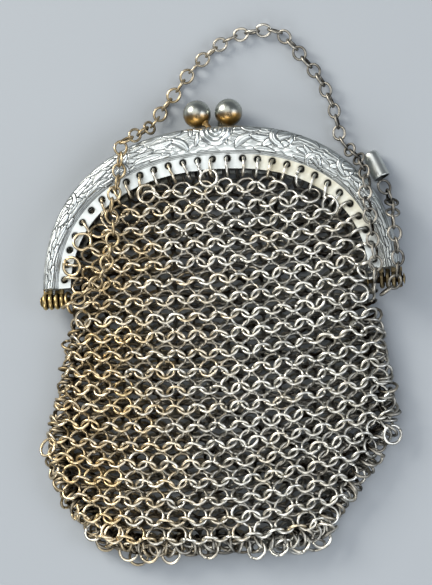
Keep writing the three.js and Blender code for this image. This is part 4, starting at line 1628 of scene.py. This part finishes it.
@dataclass(frozen=True)
class Metal:
    """A worn metal finish: rubbed bright on top, toned by age, grimy in its hollows, and darkened where shade
    is painted on.

    Attributes:
        name: The real material and its making.
        making: How its surface was made.
        clean: Its colour where it is rubbed, as sRGB hex.
        toned: Its colour where it has yellowed.
        grime_and_shade: Its colour where soil and oxide lie, and where shade is painted.
        rough: Its roughness where it is rubbed.
        rough_grime: Its roughness in the hollows.
        blotch: The size of the patches that age has left, in millimetres.
        blotch_depth: How much the patches darken it.
        grain: The size of its finest marks, in millimetres.
        grain_height: How deep they are, in millimetres.
        grime_and_shade_share: How much of the dark colour a full hollow or full painted shade takes.
    """

    name: str
    making: Making
    clean: str
    toned: str
    grime_and_shade: str
    rough: float
    rough_grime: float
    blotch: float
    blotch_depth: float
    grain: float
    grain_height: float
    grime_and_shade_share: float = 1.0

    def build(self) -> bpy.types.Material:
        """Builds the finish as nodes.

        Returns:
            The new material.
        """
        material = bare_material(self.name)
        tree = material.node_tree
        place = add_node(tree, "ShaderNodeTexCoord").outputs["Object"]
        tarnish_and_shade = add_node(tree, "ShaderNodeAttribute", {"attribute_name": "tarnish_and_shade"}).outputs["Fac"]
        warmth = add_node(tree, "ShaderNodeAttribute", {"attribute_name": "warmth"}).outputs["Fac"]
        patches = add_node(tree, "ShaderNodeTexNoise", {"Scale": 1 / (self.blotch * MM), "Detail": 4.0,
                                                        "Roughness": 0.6}, {"Vector": place}).outputs["Fac"]
        spread = add_node(tree, "ShaderNodeMapRange", {"From Min": 0.36, "From Max": 0.68},
                          {"Value": patches})
        spots = spread.outputs["Result"]
        tone = add_node(tree, "ShaderNodeMath", {"operation": "MULTIPLY_ADD", 1: 0.35},
                        {0: spots, 2: warmth}).outputs[0]
        tone = add_node(tree, "ShaderNodeMath", {"operation": "MULTIPLY", "use_clamp": True},
                        {0: tone, 1: add_node(tree, "ShaderNodeMapRange", {"From Max": 0.5},
                                              {"Value": warmth}).outputs["Result"]}).outputs[0]
        metal = self.mix(tree, tone, linear(self.clean), linear(self.toned))
        dull = add_node(tree, "ShaderNodeMath", {"operation": "MULTIPLY", 1: self.blotch_depth},
                        {0: spots}).outputs[0]
        # The dark colour goes where the darkness attribute is high, for real oxide and for painted shade
        # alike.
        dirt_and_shade = add_node(tree, "ShaderNodeMath",
                        {"operation": "MULTIPLY_ADD", "use_clamp": True, 1: self.grime_and_shade_share},
                        {0: tarnish_and_shade, 2: dull}).outputs[0]
        colour = self.mix(tree, dirt_and_shade, metal, linear(self.grime_and_shade))
        rough = add_node(tree, "ShaderNodeMapRange", {"To Min": self.rough, "To Max": self.rough_grime},
                         {"Value": dirt_and_shade}).outputs["Result"]
        looks = {"Base Color": colour, "Roughness": rough, "Normal": self.grain_normal(tree, place)}
        shader = add_node(tree, "ShaderNodeBsdfPrincipled", {"Metallic": 1.0}, looks)
        add_node(tree, "ShaderNodeOutputMaterial", None, {"Surface": shader.outputs["BSDF"]})
        return material

    def mix(self, tree: bpy.types.NodeTree, share: Any, low: Any, high: Any) -> Any:
        """Mixes two colours.

        Args:
            tree: The material's node tree.
            share: The socket with the second colour's share.
            low: The first colour, a socket or a value.
            high: The second colour, likewise.

        Returns:
            The mixed colour's socket.
        """
        settings, links = {"data_type": "RGBA"}, {0: share}
        for number, colour in ((6, low), (7, high)):
            (links if isinstance(colour, bpy.types.NodeSocket) else settings)[number] = colour
        return add_node(tree, "ShaderNodeMix", settings, links).outputs[2]

    def grain_normal(self, tree: bpy.types.NodeTree, place: Any) -> Any:
        """Adds the finest marks as a bump and gives its normal.

        Args:
            tree: The material's node tree.
            place: The socket with the place on the object.

        Returns:
            The normal's socket.
        """
        stretch = {
            Making.PRESSED: (1.0, 1.0, 1.0),
            Making.TURNED: (1.0, 1.0, 0.6),
            Making.DRAWN: (0.7, 0.7, 1.0),
        }
        scaled = add_node(tree, "ShaderNodeMapping", {"Scale": stretch[self.making]}, {"Vector": place})
        marks = add_node(tree, "ShaderNodeTexNoise", {"Scale": 1 / (self.grain * MM), "Detail": 3.0},
                         {"Vector": scaled.outputs["Vector"]})
        bump = add_node(tree, "ShaderNodeBump", {"Strength": 1.0, "Distance": self.grain_height * MM},
                        {"Height": marks.outputs["Fac"]})
        return bump.outputs["Normal"]


# Nickel silver sheet, pressed and chased: a white metal that polish has left bright on the
# leaves, with grey oxide in the chased lines.
SHEET_SILVER = Metal("nickel_silver_pressed", Making.PRESSED, "#e2e8e6", "#e0d2a4", "#262624",
                     0.26, 0.62, 3.2, 0.16, 0.45, 0.012, 0.92)

# Silver plate on cast brass balls, burnished: grey with a green cast, worn through to the
# golden brown below where a thumb has rubbed it.
BALL_SILVER = Metal("silver_plate_burnished", Making.TURNED, "#b4b8b0", "#b88f4c", "#1f1c18",
                    0.27, 0.5, 2.2, 0.2, 0.6, 0.01)

# Brass, turned: golden on the barrels' crowns with black grease between them.
HINGE_BRASS = Metal("brass_turned", Making.TURNED, "#c9b68c", "#d8bc7e", "#20160c",
                    0.28, 0.6, 1.1, 0.25, 0.3, 0.012)

# Nickel silver wire, drawn and butted into rings: cream where the mail rubs, straw on the left
# side, and brown black painted shade where the rings lie deep.
MAIL_WIRE = Metal("nickel_silver_wire_drawn", Making.DRAWN, "#ecebe2", "#ecd3a2", "#1a130b",
                  0.3, 0.62, 1.7, 0.16, 0.28, 0.01)

# The chain's wire, drawn and oxidised: darker than the mail, warm at the left end.
CHAIN_WIRE = Metal("nickel_silver_wire_oxidised", Making.DRAWN, "#d6d2c6", "#dcc08a", "#17130f",
                   0.3, 0.6, 1.4, 0.3, 0.28, 0.012)


@dataclass(frozen=True)
class Paper:
    """The matt board that the purse lies on, pale grey with a fine tooth.

    Attributes:
        colour: Its colour, as sRGB hex.
        tooth: The size of its fibres, in millimetres.
    """

    colour: str = "#a4aaaf"
    tooth: float = 0.6

    def build(self) -> bpy.types.Material:
        """Builds the board's finish.

        Returns:
            The new material.
        """
        material = bare_material("board_matt")
        tree = material.node_tree
        place = add_node(tree, "ShaderNodeTexCoord").outputs["Object"]
        fibre = add_node(tree, "ShaderNodeTexNoise", {"Scale": 1 / (self.tooth * MM)}, {"Vector": place})
        bump = add_node(tree, "ShaderNodeBump", {"Strength": 0.3, "Distance": 0.02 * MM},
                        {"Height": fibre.outputs["Fac"]})
        matt = {"Base Color": linear(self.colour), "Roughness": 0.9, "Specular IOR Level": 0.2}
        shader = add_node(tree, "ShaderNodeBsdfPrincipled", matt, {"Normal": bump.outputs["Normal"]})
        add_node(tree, "ShaderNodeOutputMaterial", None, {"Surface": shader.outputs["BSDF"]})
        return material


@dataclass(frozen=True)
class Studio:
    """The board, the soft lights and the camera.

    Attributes:
        lean: How far the camera stands off straight above, as shares of its height.
        distance: How far it stands from the purse, in millimetres.
        scale: How many millimetres of the hinge's level one pixel shows.
        turn: How far the purse lies turned in the picture, in degrees.
        middle: The place at the hinge's level in the middle of the picture.
        board: Half the board's side, in metres.
        sky: The colour of the room's light, as sRGB hex.
        sky_strength: Its strength.
    """

    lean: tuple[float, float] = (0.15, -0.15)
    distance: float = 420.0
    scale: float = 0.216
    turn: float = 2.49
    middle: tuple[float, float] = (-1.0, -0.395)
    board: float = 1.5
    sky: str = "#b9c0ca"
    sky_strength: float = 0.32

    def lay_board(self) -> None:
        """Lays the board under the purse."""
        half = self.board
        mesh = bpy.data.meshes.new("board")
        level = CAD_BOX[0][2] - 0.1 * MM
        corners = [(-half, -half, level), (half, -half, level), (half, half, level), (-half, half, level)]
        mesh.from_pydata(corners, [], [(0, 1, 2, 3)])
        mesh.materials.append(Paper().build())
        board = show("board", mesh)

    def light(self, name: str, place: tuple[float, float, float], size: float, power: float,
              colour: str) -> None:
        """Hangs one square soft light that faces the purse.

        Args:
            name: The light's name.
            place: Where it hangs, in metres from the purse.
            size: Its side in metres.
            power: Its power in watts.
            colour: Its colour.
        """
        lamp = bpy.data.lights.new(name, "AREA")
        lamp.shape, lamp.size, lamp.energy = "SQUARE", size, power
        lamp.color = linear(colour)[:3]
        rig = show(name, lamp)
        rig.location = place
        rig.rotation_mode = "QUATERNION"
        rig.rotation_quaternion = (-Vector(place)).to_track_quat("-Z", "Y")
        rig.visible_camera = False

    def light_all(self) -> None:
        """Hangs a dim broad light overhead and three low ones round it, so that gaps fall dark."""
        self.light("overhead", (-0.08, 0.14, 0.75), 0.7, 2.1, "#ffffff")
        self.light("key", (-0.55, 0.45, 0.45), 0.4, 7.0, "#fffaf2")
        self.light("fill", (0.6, -0.1, 0.42), 0.45, 2.4, "#f2f6ff")
        self.light("front", (-0.1, -0.65, 0.45), 0.45, 2.8, "#ffffff")
        world = bpy.data.worlds.new("studio")
        world.use_nodes = True
        background = world.node_tree.nodes["Background"]
        background.inputs["Color"].default_value = linear(self.sky)
        background.inputs["Strength"].default_value = self.sky_strength
        bpy.context.scene.world = world
        bpy.context.scene.view_settings.view_transform = "Standard"
        bpy.context.scene.view_settings.look = "None"

    def set_camera(self) -> None:
        """Stands the camera over the purse as the picture was taken."""
        view = Vector((self.lean[0], self.lean[1], 1.0)).normalized()
        target = Vector(PLACE.metres(np.array([self.middle[0], self.middle[1], 0.0])))
        turn = math.radians(self.turn)
        upright = Vector((math.sin(turn), math.cos(turn), 0.0))
        upright = (upright - view * upright.dot(view)).normalized()
        across = upright.cross(view)
        pose = Matrix((across, upright, view)).transposed().to_4x4()
        pose.translation = target + view * self.distance * MM
        data = bpy.data.cameras.new("camera")
        data.sensor_fit = "VERTICAL"
        data.sensor_height = 36.0
        data.sensor_width = 36.0
        data.lens = 36.0 * self.distance / (self.scale * PICTURE_HEIGHT)
        data.clip_start, data.clip_end = 0.01, 10.0
        camera = show("camera", data)
        camera.matrix_world = pose
        bpy.context.scene.camera = camera


HANDLE_ROUTE = (
    (-33.4, -1.9, 5.0), (-29.8, -0.5, 6.4), (-26.1, 2.0, 7.1), (-22.9, 7.7, 7.1), (-21.7, 13.6, 7.0),
    (-22.0, 18.8, 6.8), (-20.4, 24.3, 6.6), (-19.7, 29.7, 6.4), (-19.3, 32.6, 5.9), (-17.6, 34.2, 4.4),
    (-15.8, 35.6, 2.5), (-14.1, 37.2, -0.2), (-12.9, 39.3, -2.3), (-11.7, 41.4, -3.05), (-8.7, 45.0, -3.05),
    (-5.1, 49.6, -3.05), (-1.1, 53.1, -3.05), (3.6, 56.3, -3.05), (8.9, 57.6, -3.05), (14.2, 57.4, -3.05),
    (17.4, 54.6, -3.05), (20.5, 50.3, -3.05), (23.4, 46.1, -3.05), (25.6, 40.9, -3.05), (26.7, 36.9, -3.05),
    (27.3, 32.9, -3.05), (28.4, 30.3, -2.8), (30.3, 28.2, -0.6), (31.7, 25.9, 2.2), (32.6, 23.2, 4.8),
    (33.2, 20.6, 6.0), (32.8, 18.6, 6.5), (33.0, 16.0, 6.7), (33.5, 13.4, 6.7), (33.7, 11.0, 6.7),
    (33.8, 8.5, 6.7), (34.1, 5.9, 6.7), (34.2, 2.9, 6.4), (33.8, -0.9, 4.9),
)

TAIL_ROUTE = (
    (34.8, -3.4, 3.1), (36.4, -2.6, 3.7), (38.1, -0.8, 4.3), (38.8, 2.8, 5.2), (38.7, 6.0, 5.6),
    (38.5, 8.2, 5.6), (38.4, 10.1, 5.5), (38.2, 12.8, 4.9), (38.2, 15.3, 1.7), (37.5, 17.8, -1.5),
    (36.5, 20.2, -3.0), (35.9, 21.9, -2.7),
)


def main() -> None:
    """Builds and dresses the purse, piece by piece, and sets the studio."""
    logging.basicConfig(level=logging.INFO, format="%(message)s")
    silver, ball, brass = SHEET_SILVER.build(), BALL_SILVER.build(), HINGE_BRASS.build()
    wire, chain = MAIL_WIRE.build(), CHAIN_WIRE.build()
    studio = Studio()
    studio.set_camera()
    studio.lay_board()
    studio.light_all()
    front = FrameHalf("front_frame", Arch(), 0, False, 0.11)
    back = FrameHalf("back_frame", Arch(rim=0.35), 1, True, 0.16)
    front.build([silver, brass])
    back.build([silver, brass])
    Knob("front_knob", False).build(ball)
    Knob("back_knob", True).build(ball)
    for side in (-1, 1):
        hinge = Hinge(side)
        hinge.build_pin(brass)
        hinge.build_ring(chain)
    bag = MailBag(BagForm(), Arch(), front.holes())
    bag.build_layer(True, wire)
    bag.build_layer(False, wire)
    bag.build_sewing(wire)
    bag.build_edges(wire)
    bag.build_loose(wire)
    LinkChain("handle_chain", HANDLE_ROUTE).build(chain)
    LinkChain("tail_chain", TAIL_ROUTE).build(chain)
    EndCup().build(silver)


if __name__ == "__main__":
    main()
